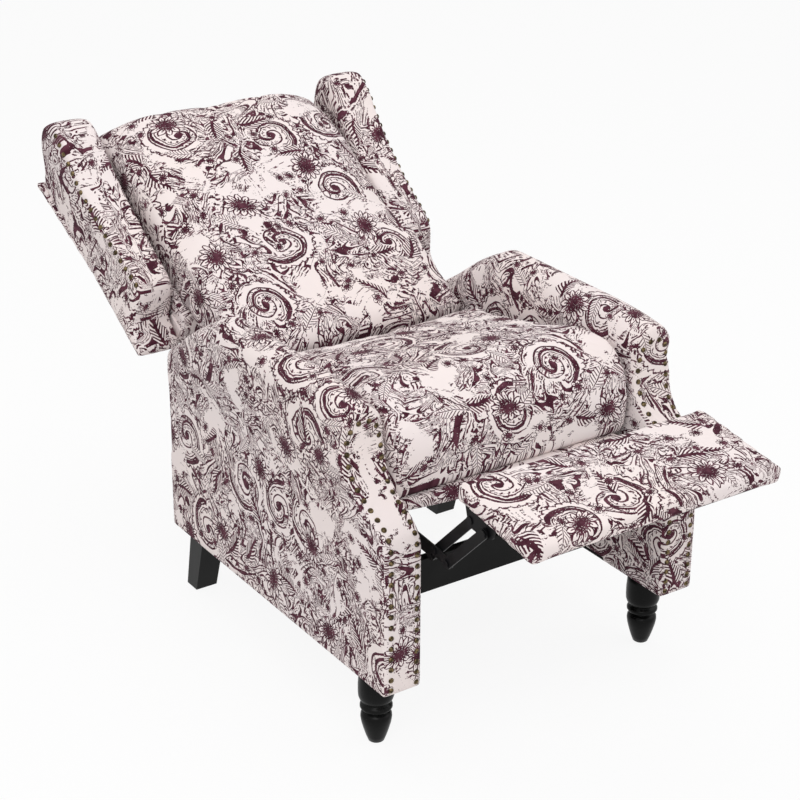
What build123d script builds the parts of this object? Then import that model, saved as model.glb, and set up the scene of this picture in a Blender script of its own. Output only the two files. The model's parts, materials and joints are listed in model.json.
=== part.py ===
"""A wingback recliner that opens when its sitter pushes back: rolled arms on turned
legs, a winged back, a deep seat with a soft nose, and a footrest on folding links.

Millimetres. +Z up, the front faces -Y, +X is the sitter's left. The chair is drawn
fully reclined with the footrest out. While it is drawn, y = 0 is the front of the
arms and z = 0 the floor; at the end everything moves along Y together, so that the
origin is on the floor under the middle of the chair.
"""

import os
from math import atan2, cos, degrees, hypot, radians, sin, tan

from build123d import *

os.makedirs("parts", exist_ok=True)

# ---- Arms ----
ARM_INNER_X = 256.0  # from the chair's middle to an arm's inner face
ARM_THICKNESS = 72.0  # lower slab of an arm
ARM_BOTTOM_Z = 142.0
ARM_TOP_Z = 627.0
ARM_DEPTH = 729.0
ARM_REAR_LEAN = 8.0  # how far the rear edge leans forward up to its top
ROLL_RADIUS = 43.0
ROLL_OVERHANG = 16.5  # the roll's reach past the slab's outer face
SHELF_FRONT_Z = 418.0  # where the front face turns back into the sloping shelf
SHELF_REAR_Z = 492.0
NECK_Y = 115.0  # set-back of the arm above its shelf
NECK_LEAN = 24.0  # the roll's front end comes forward again by this much
SHELF_ROUND = 22.0
NECK_ROUND = 40.0
SLOPE_START_Y = 523.0  # behind this the arm's top falls away for the wing
SLOPE_END_Z = 505.0
FACING_THICKNESS = 8.0
FACING_DROP = 6.0
FRAME_BOARD = 18.0
FRAME_INSET = 30.0
FRAME_BAR = 62.0

# ---- Legs and stretchers ----
FRONT_LEG_Y = 82.0
FRONT_LEG_X = 291.0
LEG_PLATE = 3.0
LEG_FOOT_RADIUS = 14.0
LEG_BODY_RADIUS = 27.0
LEG_BUN_RADIUS = 31.0
LEG_GROOVE_RADIUS = 19.0
REAR_LEG_TOP = 48.0  # square
REAR_LEG_FOOT_X = 44.0
REAR_LEG_FOOT_Y = 36.0
REAR_LEG_INSET = 53.0  # from the arms' rear edge to the leg's middle, at its top
REAR_LEG_SPLAY = 36.0
REAR_LEG_X = 281.0
STRETCHER_THICKNESS = 18.0
FRONT_STRETCHER_Y = 160.0
FRONT_STRETCHER_Z = 200.0
FRONT_STRETCHER_HEIGHT = 65.0
REAR_STRETCHER_INSET = 39.0  # from the arms' rear edge
REAR_STRETCHER_Z = 150.0
REAR_STRETCHER_HEIGHT = 55.0

# ---- Steel linkage ----
STEEL = 3.0
GAP = 2.7  # between two links, room for a rivet's head
LINK_WIDTH = 18.0
PIN = 8.0
PIN_CLEARANCE = 0.05  # radial
HEAD = 14.0
HEAD_HEIGHT = 2.0
HEAD_GAP = 0.3
SEAT_PLATE_X = 220.0  # inner face of the seat plate, on the seat rail
SWING_GAP = 1.0  # between a swing link and its base rail
SWING_LENGTH = 112.0
SWING_ANGLE = 19.5  # above level, pointing forwards
SWING_TURN = 36.5
BASE_RAIL_END = 30.0  # past its pivots
BASE_RAIL_HEIGHT = 40.0
SEAT_PIVOT_FRONT = (255.0, 338.0)
SEAT_PIVOT_REAR = (480.0, 326.0)
FOOT_PIVOT = (118.0, 380.0)
DRIVE_LENGTH = 110.0
DRIVE_ANGLE = 184.0
CROSS_LENGTH = 161.0
CROSS_ANGLE = 134.5
FOLD_STEP = 25.0  # first parallelogram's short side
BRACKET_STEP = 42.0  # second parallelogram's short side
DRIVE_TURN = 82.0
CROSS_TURN = 26.5

# ---- Seat ----
SEAT_FRONT_Y = 100.0
SEAT_FRAME_DEPTH = 430.0
SEAT_RAIL_HEIGHT = 55.0
SEAT_RAIL = 22.0
DECK_FRONT_Z = 424.0
DECK_TILT = 8.0
STRAP = 2.2
STRAP_WIDTH = 45.0
SEAT_STRAPS = 6
BAND_THICKNESS = 8.0
SEAT_HALF_WIDTH = 250.0
SEAT_CROWN = 16.0
NOSE_OVERHANG = 11.0
SEAT_REAR_TOP = (566.0, 503.0)
SEAT_REAR_MIDDLE = (538.0, 440.0)
NOSE_TOP = (175.0, 588.0)

# ---- Back ----
BACK_ANGLE = 29.6  # above level in this reclined pose
BACK_TURN = 45.0
BACK_HINGE = (700.0, 410.0)
BACK_BOTTOM_S = 933.0  # along the back from the point under the drawing's origin
BACK_TOP_S = 1398.0
PANEL_THICKNESS = 8.0
RAIL_THICKNESS = 21.0
POST_WIDTH = 25.0
POST_BOTTOM_S = 846.0
BACK_BRACKET_REACH = 150.0  # up along the post from its foot
RAIL_HEIGHT = 40.0
BACK_STRAPS = 5
BACK_CUSHION_BOTTOM_S = 748.0
BACK_CUSHION_TOP_S = 1374.0
BACK_CUSHION_EDGE_N = 157.0
BACK_CUSHION_CROWN_N = 180.0
BACK_SWELL_START = 150.0  # from the cushion's foot, where its front begins to swell
BACK_SWELL_END = 330.0
BACK_TOP_ROLL = 70.0
BACK_HALF_WIDTH = 248.0
PLATE_NOTCH_X = 213.0
WING_OUTER_X = 330.0
WING_FLARE = 3.7
WING_LOBE_S = 1003.0
WING_LOBE_N = 106.0
WING_TOP_N = 178.0

# ---- Footrest ----
PAD_WIDTH = 500.0
PAD_DEPTH = 190.0
PAD_THICKNESS = 32.0
PAD_CORNER = 24.0
PAD_CHAMFER = 7.0
PAD_TILT = 8.5
PAD_REACH = 79.5  # pad's middle in front of the cross link's end
PAD_RISE = 23.9
BOARD_THICKNESS = 12.0
BOARD_INSET = 14.0
FLANGE = 30.0


def ray(angle, length, start=(0.0, 0.0)):
    """The point at a length and an angle above +Y from a start, in the side view."""
    return (
        start[0] + length * cos(radians(angle)),
        start[1] + length * sin(radians(angle)),
    )


def side(x):
    """The side view's plane at x: its first axis is Y, its second Z, it faces +X."""
    return Plane(origin=(x, 0, 0), x_dir=(0, 1, 0), z_dir=(1, 0, 0))


def back_side(x):
    """The back's own side view at x: first axis up along the back, second forwards."""
    run = (0, cos(radians(BACK_ANGLE)), sin(radians(BACK_ANGLE)))
    return Plane(origin=(x, 0, 0), x_dir=run, z_dir=(1, 0, 0))


def outline(corners):
    """A face through corners (u, v, radius)."""
    points = [(u, v) for u, v, _ in corners]
    radii = [r for _, _, r in corners]
    return make_face(FilletPolyline(*points, radius=radii, close=True))


def slab(plane, corners, thickness):
    return extrude(plane * outline(corners), thickness)


def mirrored(solid):
    return mirror(solid, about=Plane.YZ)


def layer(index):
    """Inner face of the footrest links' layer, counted outwards from the seat plate."""
    return SEAT_PLATE_X + (index + 1) * (STEEL + GAP)


def bar(x, start, end, holes, studs=()):
    """A flat link with round ends, pin holes, and studs that hold the next link out."""
    length = hypot(end[0] - start[0], end[1] - start[1])
    angle = degrees(atan2(end[1] - start[1], end[0] - start[0]))
    middle = ((start[0] + end[0]) / 2, (start[1] + end[1]) / 2)
    face = Pos(*middle) * Rot(0, 0, angle) * SlotCenterToCenter(length, LINK_WIDTH)
    for hole in holes:
        face -= Pos(*hole) * Circle(PIN / 2 + PIN_CLEARANCE)
    link = extrude(side(x) * face, STEEL)
    for point in studs:
        link += headed(point, x + STEEL, GAP + STEEL)
    return link


def rod(point, x, length, diameter):
    """A round bar along X from x, in the side view at a point."""
    return extrude(side(x) * Pos(*point) * Circle(diameter / 2), length)


def headed(point, x, through):
    """A pin from x outwards through what it carries, with a head clear of that."""
    head_x = x + through + HEAD_GAP
    return rod(point, x, through + HEAD_GAP + HEAD_HEIGHT, PIN) + rod(point, head_x, HEAD_HEIGHT, HEAD)


nodes = {}


def pair(name, solid):
    """The same piece on both sides; the one drawn at +X is the sitter's left."""
    nodes[f"left_{name}"] = solid
    nodes[f"right_{name}"] = mirrored(solid)


def both(name, solids):
    """Like pieces of both sides in one node, each a solid of its own."""
    nodes[name] = Compound([*solids, *[mirrored(s) for s in solids]])


# ---- Arms: padded cover over a plywood frame, with a facing panel on the front ----
ARM_OUTER_X = ARM_INNER_X + ARM_THICKNESS
ROLL_X = ARM_OUTER_X + ROLL_OVERHANG - ROLL_RADIUS
ROLL_Z = ARM_TOP_Z - ROLL_RADIUS
ARM_REAR_TOP_Y = ARM_DEPTH - ARM_REAR_LEAN
SLOPE_ANGLE = degrees(atan2(SLOPE_END_Z - ARM_TOP_Z, ARM_REAR_TOP_Y - SLOPE_START_Y))
ABOVE = ARM_TOP_Z + 60


def front_edge(shift_y=0.0, shift_z=0.0, top=ABOVE):
    """The arm's front edge from the bottom up, as corners with radii."""
    lean = NECK_LEAN * (top - SHELF_REAR_Z) / (ARM_TOP_Z - SHELF_REAR_Z)
    return [
        (shift_y, ARM_BOTTOM_Z, 0),
        (shift_y, SHELF_FRONT_Z + shift_z, SHELF_ROUND),
        (NECK_Y + shift_y, SHELF_REAR_Z + shift_z, NECK_ROUND),
        (NECK_Y - lean + shift_y, top, 0),
    ]


def slope_point(depth, y=None, z=None):
    """A point on the line parallel to the arm's rear slope, depth below it."""
    across = (depth * sin(radians(SLOPE_ANGLE)), -depth * cos(radians(SLOPE_ANGLE)))
    start = (SLOPE_START_Y + across[0], ARM_TOP_Z + across[1])
    if y is None:
        return (start[0] + (z - start[1]) / tan(radians(SLOPE_ANGLE)), z)
    return (y, start[1] + (y - start[0]) * tan(radians(SLOPE_ANGLE)))


def arm_body():
    knee = slope_point(ROLL_RADIUS, z=ROLL_Z)
    rear = slope_point(ROLL_RADIUS, y=ARM_DEPTH + 60)
    lower = front_edge(top=ROLL_Z) + [(*knee, 0), (*slope_point(ROLL_RADIUS, y=ARM_DEPTH), 0)]
    body = slab(side(ARM_INNER_X), lower + [(ARM_DEPTH, ARM_BOTTOM_Z, 0)], ARM_THICKNESS)
    path = Polyline((ROLL_X, 0, ROLL_Z), (ROLL_X, *knee), (ROLL_X, *rear))
    level = Plane(origin=(ROLL_X, 0, ROLL_Z), x_dir=(1, 0, 0), z_dir=(0, 1, 0))
    body += sweep(level * Circle(ROLL_RADIUS), path, transition=Transition.RIGHT)
    ends = front_edge() + [(ARM_REAR_TOP_Y, ABOVE, 0), (ARM_REAR_TOP_Y, SLOPE_END_Z, 0)]
    return body & slab(side(0), ends + [(ARM_DEPTH, ARM_BOTTOM_Z, 0)], 2 * ARM_OUTER_X)


arm = arm_body()
behind = front_edge(FACING_THICKNESS, -FACING_DROP) + [(2 * ARM_DEPTH, ABOVE, 0)]
behind_facing = slab(side(0), behind + [(2 * ARM_DEPTH, ARM_BOTTOM_Z, 0)], 2 * ARM_OUTER_X)
BOARD_X = ARM_INNER_X + (ARM_THICKNESS - FRAME_BOARD) / 2
frame_top = slope_point(FRAME_INSET + ROLL_RADIUS / 2, y=ARM_REAR_TOP_Y - FRAME_INSET)
frame_edge = [
    (FRAME_INSET, ARM_BOTTOM_Z, 0),
    (FRAME_INSET, SHELF_FRONT_Z - FRAME_INSET / 2, 0),
    (NECK_Y + FRAME_INSET, SHELF_REAR_Z - FRAME_INSET / 2, 0),
    (NECK_Y + FRAME_INSET, ROLL_Z, 0),
    (*slope_point(FRAME_INSET + ROLL_RADIUS / 2, z=ROLL_Z), 0),
    (*frame_top, 0),
    (ARM_REAR_TOP_Y - FRAME_INSET, ARM_BOTTOM_Z, 0),
]
frame_pocket = slab(side(BOARD_X), frame_edge, FRAME_BOARD)
window_front = NECK_Y + FRAME_INSET + FRAME_BAR
window_rear = frame_top[0] - FRAME_BAR
window_mid = (window_front + window_rear) / 2
window_z = (ARM_BOTTOM_Z + FRAME_BAR + ROLL_Z - 2 * FRAME_BAR) / 2
window_height = ROLL_Z - 2 * FRAME_BAR - ARM_BOTTOM_Z - FRAME_BAR
window_width = (window_rear - window_front - FRAME_BAR) / 2
frame_face = outline(frame_edge)
for sign in (-1, 1):
    centre = (window_mid + sign * (window_width + FRAME_BAR) / 2, window_z)
    frame_face -= Pos(*centre) * Rectangle(window_width, window_height)
pair("arm_frame", extrude(side(BOARD_X) * frame_face, FRAME_BOARD))
pair("arm_cover", (arm & behind_facing) - frame_pocket)
pair("arm_facing", arm - behind_facing)


# ---- Legs: turned in front, square and splayed behind ----
def turned_leg():
    top = ARM_BOTTOM_Z - LEG_PLATE
    foot, body, bun, groove = LEG_FOOT_RADIUS, LEG_BODY_RADIUS, LEG_BUN_RADIUS, LEG_GROOVE_RADIUS
    profile = Polyline(
        (0, 0),
        (foot, 0),
        (body, 48),
        (body, 57),
        (groove, 57),
        (groove, 65),
        (body + 1, 65),
        (body + 1, 74),
        (groove + 3, 74),
        (groove + 3, 81),
        (bun, 81),
        (bun, 102),
        (bun - 3, top),
        (0, top),
        close=True,
    )
    leg = revolve(Plane.XZ * make_face(profile), Axis.Z)
    return Pos(FRONT_LEG_X, FRONT_LEG_Y, 0) * leg


REAR_LEG_TOP_Y = ARM_DEPTH - REAR_LEG_INSET


def splayed_leg():
    top_z = ARM_BOTTOM_Z - LEG_PLATE
    foot_y = REAR_LEG_TOP_Y + REAR_LEG_SPLAY
    from_side = [
        (foot_y - REAR_LEG_FOOT_Y / 2, 0, 0),
        (foot_y + REAR_LEG_FOOT_Y / 2, 0, 0),
        (REAR_LEG_TOP_Y + REAR_LEG_TOP / 2, top_z, 0),
        (REAR_LEG_TOP_Y - REAR_LEG_TOP / 2, top_z, 0),
    ]
    from_front = [
        (REAR_LEG_X - REAR_LEG_FOOT_X / 2, 0, 0),
        (REAR_LEG_X + REAR_LEG_FOOT_X / 2, 0, 0),
        (REAR_LEG_X + REAR_LEG_TOP / 2, top_z, 0),
        (REAR_LEG_X - REAR_LEG_TOP / 2, top_z, 0),
    ]
    leg = slab(side(0), from_side, 2 * REAR_LEG_X)
    return leg & slab(Plane.XZ, from_front, -2 * ARM_DEPTH)


pair("front_leg", turned_leg())
pair("rear_leg", splayed_leg())
plate_z = ARM_BOTTOM_Z - LEG_PLATE / 2
both(
    "leg_plates",
    [
        Pos(FRONT_LEG_X, FRONT_LEG_Y, plate_z) * Box(56, 56, LEG_PLATE),
        Pos(REAR_LEG_X, REAR_LEG_TOP_Y, plate_z) * Box(REAR_LEG_TOP, REAR_LEG_TOP, LEG_PLATE),
    ],
)


def stretcher(y, z, height):
    middle = Pos(0, y + STRETCHER_THICKNESS / 2, z + height / 2)
    return middle * Box(2 * ARM_INNER_X, STRETCHER_THICKNESS, height)


nodes["front_stretcher"] = stretcher(FRONT_STRETCHER_Y, FRONT_STRETCHER_Z, FRONT_STRETCHER_HEIGHT)
rear_stretcher_y = ARM_DEPTH - REAR_STRETCHER_INSET
nodes["rear_stretcher"] = stretcher(rear_stretcher_y, REAR_STRETCHER_Z, REAR_STRETCHER_HEIGHT)

# ---- Swing links: they carry the seat on the base rails, as a parallelogram ----
RAIL_X = ARM_INNER_X - STEEL
SWING_X = RAIL_X - STEEL - SWING_GAP
base_pivots = [ray(-SWING_ANGLE, SWING_LENGTH, pivot) for pivot in (SEAT_PIVOT_FRONT, SEAT_PIVOT_REAR)]
rail_run = hypot(base_pivots[1][0] - base_pivots[0][0], base_pivots[1][1] - base_pivots[0][1])
rail_angle = degrees(atan2(base_pivots[1][1] - base_pivots[0][1], base_pivots[1][0] - base_pivots[0][0]))
rail_middle = tuple((a + b) / 2 for a, b in zip(*base_pivots))
rail_length = rail_run + 2 * BASE_RAIL_END
rail_face = Pos(*rail_middle) * Rot(0, 0, rail_angle) * Rectangle(rail_length, BASE_RAIL_HEIGHT)
pair("base_rail", extrude(side(RAIL_X) * rail_face, STEEL))
for name, low, high in (
    ("front_swing_link", base_pivots[0], SEAT_PIVOT_FRONT),
    ("rear_swing_link", base_pivots[1], SEAT_PIVOT_REAR),
):
    pair(name, bar(SWING_X, low, high, [low, high]))
PIN_REACH = RAIL_X - SWING_X + HEAD_GAP + HEAD_HEIGHT
base_pins = []
for pivot in base_pivots:
    shank = rod(pivot, RAIL_X - PIN_REACH, PIN_REACH, PIN)
    base_pins.append(shank + rod(pivot, RAIL_X - PIN_REACH, HEAD_HEIGHT, HEAD))
both("base_pivot_pins", base_pins)

# ---- Seat: steel side plates, a wooden frame with elastic straps, and the cushion ----
SEAT_REAR_Y = SEAT_FRONT_Y + SEAT_FRAME_DEPTH
DECK_SLOPE = tan(radians(DECK_TILT))


def deck(y):
    """Height of the cushion's underside."""
    return DECK_FRONT_Z - DECK_SLOPE * (y - SEAT_FRONT_Y)


plate_corners = [
    (FOOT_PIVOT[0] - 16, FOOT_PIVOT[1] - 12, 8),
    (FOOT_PIVOT[0] - 12, FOOT_PIVOT[1] + 16, 8),
    (FOOT_PIVOT[0] + 20, FOOT_PIVOT[1] + 16, 0),
    (SEAT_PIVOT_FRONT[0], SEAT_PIVOT_FRONT[1] + 30, 0),
    (SEAT_REAR_Y + 6, deck(SEAT_REAR_Y + 6) - 5, 0),
    (BACK_HINGE[0] - 12, BACK_HINGE[1] + 19, 12),
    (BACK_HINGE[0] + 17, BACK_HINGE[1] + 12, 12),
    (BACK_HINGE[0] + 15, BACK_HINGE[1] - 16, 12),
    (SEAT_PIVOT_REAR[0] + 45, SEAT_PIVOT_REAR[1] - 20, 0),
    (SEAT_PIVOT_FRONT[0] - 14, SEAT_PIVOT_FRONT[1] - 22, 0),
]
plate_face = outline(plate_corners)
plate_face -= Pos(*BACK_HINGE) * Circle(PIN / 2 + PIN_CLEARANCE)
pair("seat_plate", extrude(side(SEAT_PLATE_X) * plate_face, STEEL))


def along_deck(start, end, top, height):
    """A strip of the side view that follows the deck, its top this far below it."""
    return [
        (start, deck(start) - top - height, 0),
        (start, deck(start) - top, 0),
        (end, deck(end) - top, 0),
        (end, deck(end) - top - height, 0),
    ]


RAIL_INNER_X = SEAT_PLATE_X - SEAT_RAIL
side_strip = along_deck(SEAT_FRONT_Y, SEAT_REAR_Y, STRAP, SEAT_RAIL_HEIGHT)
pair("seat_rail", slab(side(RAIL_INNER_X), side_strip, SEAT_RAIL))
front_strip = along_deck(SEAT_FRONT_Y, SEAT_FRONT_Y + SEAT_RAIL, STRAP, SEAT_RAIL_HEIGHT)
nodes["seat_front_rail"] = slab(side(-RAIL_INNER_X), front_strip, 2 * RAIL_INNER_X)
rear_strip = along_deck(SEAT_REAR_Y - SEAT_RAIL, SEAT_REAR_Y, STRAP, SEAT_RAIL_HEIGHT)
nodes["seat_rear_rail"] = slab(side(-RAIL_INNER_X), rear_strip, 2 * RAIL_INNER_X)
strap_pitch = (SEAT_FRAME_DEPTH - STRAP_WIDTH) / (SEAT_STRAPS - 1)
seat_straps = []
for i in range(SEAT_STRAPS):
    strap_y = SEAT_FRONT_Y + i * strap_pitch
    strip = along_deck(strap_y, strap_y + STRAP_WIDTH, 0, STRAP)
    seat_straps.append(slab(side(-SEAT_PLATE_X), strip, 2 * SEAT_PLATE_X))
nodes["seat_webbing"] = Compound(seat_straps)
band = Box(2 * SEAT_PLATE_X - 4, BAND_THICKNESS, SEAT_RAIL_HEIGHT - 8)
band_z = DECK_FRONT_Z - STRAP - (SEAT_RAIL_HEIGHT - 8) / 2
nodes["seat_front_band"] = Pos(0, SEAT_FRONT_Y - BAND_THICKNESS / 2, band_z) * band

NOSE_Y = SEAT_FRONT_Y - NOSE_OVERHANG
seat_slope = degrees(atan2(SEAT_REAR_TOP[1] - NOSE_TOP[1], SEAT_REAR_TOP[0] - NOSE_TOP[0]))
seat_profile = [
    (NOSE_Y + 14, deck(NOSE_Y + 14), 12),
    (NOSE_Y, deck(NOSE_Y) + 70, 60),
    (NOSE_Y + 22, NOSE_TOP[1] - 6, 42),
    (NOSE_TOP[0], NOSE_TOP[1] + SEAT_CROWN, 60),
    (SEAT_REAR_TOP[0] - 60, SEAT_REAR_TOP[1] + 60 * tan(radians(-seat_slope)) + SEAT_CROWN, 90),
    (*SEAT_REAR_TOP, 8),
    (*SEAT_REAR_MIDDLE, 30),
    (SEAT_REAR_MIDDLE[0], deck(SEAT_REAR_MIDDLE[0]), 10),
]
seat_soft = slab(side(-SEAT_HALF_WIDTH), seat_profile, 2 * SEAT_HALF_WIDTH)
edge_z = NOSE_TOP[1] - deck(NOSE_TOP[0])
crown_plane = Plane(
    origin=(0, 0, NOSE_TOP[1] - NOSE_TOP[0] * tan(radians(seat_slope))),
    x_dir=(-1, 0, 0),
    z_dir=(0, cos(radians(seat_slope)), sin(radians(seat_slope))),
)


def crown_face(half, edge, crown, corner, depth):
    """A cushion's cross-section: flat below, crowned above, with drawn-in sides."""
    face = make_face(
        [
            ThreePointArc((-half, edge), (0, edge + crown), (half, edge)),
            Line((half, edge), (half, edge - depth)),
            Line((half, edge - depth), (-half, edge - depth)),
            Line((-half, edge - depth), (-half, edge)),
        ]
    )
    upper = face.vertices().sort_by(Axis.Y)[-2:]
    return fillet(upper, corner)


crown = crown_face(SEAT_HALF_WIDTH, -SEAT_CROWN / 2, 1.5 * SEAT_CROWN, 30, 3 * edge_z)
nodes["seat_cushion"] = seat_soft & extrude(crown_plane * crown, 2 * SEAT_REAR_TOP[0])

# ---- Footrest links: two parallelograms in a row, each side of the seat ----
drive_end = ray(DRIVE_ANGLE, DRIVE_LENGTH, FOOT_PIVOT)
fold_end = ray(CROSS_ANGLE, FOLD_STEP, FOOT_PIVOT)
crossing = ray(CROSS_ANGLE, FOLD_STEP, drive_end)
cross_end = ray(CROSS_ANGLE, CROSS_LENGTH, drive_end)
stay_foot = ray(DRIVE_ANGLE, BRACKET_STEP, crossing)
stay_end = ray(DRIVE_ANGLE, BRACKET_STEP, cross_end)
pair("drive_link", bar(layer(0), FOOT_PIVOT, drive_end, [FOOT_PIVOT], [drive_end]))
pair("fold_link", bar(layer(1), FOOT_PIVOT, fold_end, [FOOT_PIVOT], [fold_end]))
pair("cross_link", bar(layer(1), drive_end, cross_end, [drive_end], [crossing, cross_end]))
pair("guide_link", bar(layer(2), fold_end, stay_foot, [fold_end, crossing], [stay_foot]))
pair("stay_link", bar(layer(3), stay_foot, stay_end, [stay_foot, stay_end]))


PLATE_FACE = SEAT_PLATE_X + STEEL
both("footrest_pivot_pins", [headed(FOOT_PIVOT, PLATE_FACE, layer(1) + STEEL - PLATE_FACE)])
seat_pins = []
for pivot in (SEAT_PIVOT_FRONT, SEAT_PIVOT_REAR):
    shoulder = rod(pivot, PLATE_FACE, SWING_X - HEAD_GAP - PLATE_FACE, HEAD)
    seat_pins.append(shoulder + rod(pivot, PLATE_FACE, SWING_X + STEEL + HEAD_GAP - PLATE_FACE, PIN))
both("seat_pivot_pins", seat_pins)
BACK_BRACKET_X = SEAT_PLATE_X - GAP - STEEL
both("back_hinge_pins", [headed(BACK_HINGE, BACK_BRACKET_X + STEEL, GAP + STEEL)])

# ---- Footrest: brackets, a plywood board and its pad ----
pad_middle = (cross_end[0] - PAD_REACH, cross_end[1] + PAD_RISE)
pad_up = (0, -sin(radians(PAD_TILT)), cos(radians(PAD_TILT)))


def pad_plane(height):
    """The footrest's own plane, this far above its middle: X, then rearwards."""
    origin = (0, pad_middle[0] + height * pad_up[1], pad_middle[1] + height * pad_up[2])
    return Plane(origin=origin, x_dir=(1, 0, 0), z_dir=pad_up)


UNDER = -PAD_THICKNESS / 2
pad = extrude(pad_plane(UNDER) * RectangleRounded(PAD_WIDTH, PAD_DEPTH, PAD_CORNER), PAD_THICKNESS)
pad_faces = pad.faces().sort_by(Axis((0, 0, 0), pad_up))
pad = chamfer([*pad_faces[-1].edges(), *pad_faces[0].edges()], PAD_CHAMFER)
board_size = (PAD_WIDTH - 2 * BOARD_INSET, PAD_DEPTH - 2 * BOARD_INSET)
board = extrude(pad_plane(UNDER) * Rectangle(*board_size), BOARD_THICKNESS)
nodes["footrest_board"] = board
nodes["footrest_pad"] = pad - board


def under_pad(y):
    """Height of the footrest's underside at y."""
    return pad_middle[1] + (pad_middle[0] - y) * -tan(radians(PAD_TILT)) + UNDER / cos(radians(PAD_TILT))


def foot_bracket():
    x = layer(2)
    rear, front = cross_end[0] + 13, stay_end[0] - 22
    corners = [
        (rear, under_pad(rear), 0),
        (front, under_pad(front), 0),
        (front + 4, stay_end[1] - 4, 8),
        (stay_end[0], stay_end[1] - 12, 10),
        (cross_end[0] + 4, cross_end[1] - 12, 10),
    ]
    face = outline(corners)
    face -= Pos(*cross_end) * Circle(PIN / 2 + PIN_CLEARANCE)
    flange = [
        (rear, under_pad(rear), 0),
        (front, under_pad(front), 0),
        (front, under_pad(front) - STEEL, 0),
        (rear, under_pad(rear) - STEEL, 0),
    ]
    plate = extrude(side(x) * face, STEEL) + slab(side(x - FLANGE), flange, FLANGE)
    return plate + headed(stay_end, x + STEEL, GAP + STEEL)


pair("foot_bracket", foot_bracket())

# ---- Back: steel brackets, posts and rails, straps, cushion, outer panel and wings ----
POST_X = BACK_BRACKET_X - POST_WIDTH
POST_N = PANEL_THICKNESS + RAIL_THICKNESS
CUSHION_N = POST_N + RAIL_THICKNESS + STRAP
RAIL_TOP_S = BACK_TOP_S - 18


def rectangle(s0, s1, n0, n1):
    return [(s0, n0, 0), (s1, n0, 0), (s1, n1, 0), (s0, n1, 0)]


post = rectangle(POST_BOTTOM_S, RAIL_TOP_S, POST_N, POST_N + RAIL_THICKNESS)
pair("back_post", slab(back_side(POST_X), post, POST_WIDTH))
for name, low in (("back_bottom_rail", BACK_BOTTOM_S + 10), ("back_top_rail", RAIL_TOP_S - RAIL_HEIGHT)):
    rail = rectangle(low, low + RAIL_HEIGHT, PANEL_THICKNESS, POST_N)
    nodes[name] = slab(back_side(-ARM_INNER_X), rail, 2 * ARM_INNER_X)
straps = []
first, last = BACK_BOTTOM_S + 30, RAIL_TOP_S - STRAP_WIDTH - 20
for i in range(BACK_STRAPS):
    low = first + i * (last - first) / (BACK_STRAPS - 1)
    strip = rectangle(low, low + STRAP_WIDTH, CUSHION_N - STRAP, CUSHION_N)
    straps.append(slab(back_side(-BACK_BRACKET_X), strip, 2 * BACK_BRACKET_X))
nodes["back_webbing"] = Compound(straps)

hinge_s = BACK_HINGE[0] * cos(radians(BACK_ANGLE)) + BACK_HINGE[1] * sin(radians(BACK_ANGLE))
hinge_n = BACK_HINGE[1] * cos(radians(BACK_ANGLE)) - BACK_HINGE[0] * sin(radians(BACK_ANGLE))
bracket_corners = [
    (hinge_s - 15, hinge_n - 15, 12),
    (hinge_s + 30, hinge_n - 15, 30),
    (POST_BOTTOM_S + 24, POST_N, 20),
    (POST_BOTTOM_S + BACK_BRACKET_REACH, POST_N, 6),
    (POST_BOTTOM_S + BACK_BRACKET_REACH, POST_N + RAIL_THICKNESS, 6),
    (POST_BOTTOM_S + 4, POST_N + RAIL_THICKNESS, 30),
    (hinge_s - 15, hinge_n + 17, 12),
]
bracket_face = outline(bracket_corners)
pair("back_bracket", extrude(back_side(BACK_BRACKET_X) * bracket_face, STEEL))

cushion_profile = [
    (BACK_CUSHION_BOTTOM_S, CUSHION_N, 12),
    (BACK_CUSHION_BOTTOM_S, BACK_CUSHION_EDGE_N, 14),
    (BACK_CUSHION_BOTTOM_S + BACK_SWELL_START, BACK_CUSHION_EDGE_N, 300),
    (BACK_CUSHION_BOTTOM_S + BACK_SWELL_END, BACK_CUSHION_CROWN_N, 400),
    (BACK_CUSHION_TOP_S - BACK_TOP_ROLL, BACK_CUSHION_CROWN_N - 4, 120),
    (BACK_CUSHION_TOP_S, BACK_CUSHION_EDGE_N - 22, 40),
    (BACK_CUSHION_TOP_S, CUSHION_N, 20),
]
back_soft = slab(back_side(-BACK_HALF_WIDTH), cushion_profile, 2 * BACK_HALF_WIDTH)
back_run = (0, cos(radians(BACK_ANGLE)), sin(radians(BACK_ANGLE)))
across_back = Plane(origin=(0, 0, 0), x_dir=(-1, 0, 0), z_dir=back_run)
crown = crown_face(BACK_HALF_WIDTH, BACK_CUSHION_EDGE_N - 14, 38, 26, 2 * BACK_CUSHION_EDGE_N)
back_soft &= extrude(across_back * crown, 2 * BACK_TOP_S)
notch = rectangle(
    BACK_CUSHION_BOTTOM_S - 20, POST_BOTTOM_S + 4, CUSHION_N - 20, BACK_CUSHION_EDGE_N - 32
)
back_soft -= slab(back_side(PLATE_NOTCH_X), notch, BACK_HALF_WIDTH)
back_soft -= slab(back_side(-PLATE_NOTCH_X - BACK_HALF_WIDTH), notch, BACK_HALF_WIDTH)
nodes["back_cushion"] = back_soft

back_normal = (0, -sin(radians(BACK_ANGLE)), cos(radians(BACK_ANGLE)))


def front_view(n):
    """The back seen square on, at n: first axis up along the back, second -X."""
    origin = (0, n * back_normal[1], n * back_normal[2])
    return Plane(origin=origin, x_dir=back_run, z_dir=back_normal)


def wing_x(s):
    return WING_OUTER_X + (s - WING_LOBE_S) * tan(radians(WING_FLARE))


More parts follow.
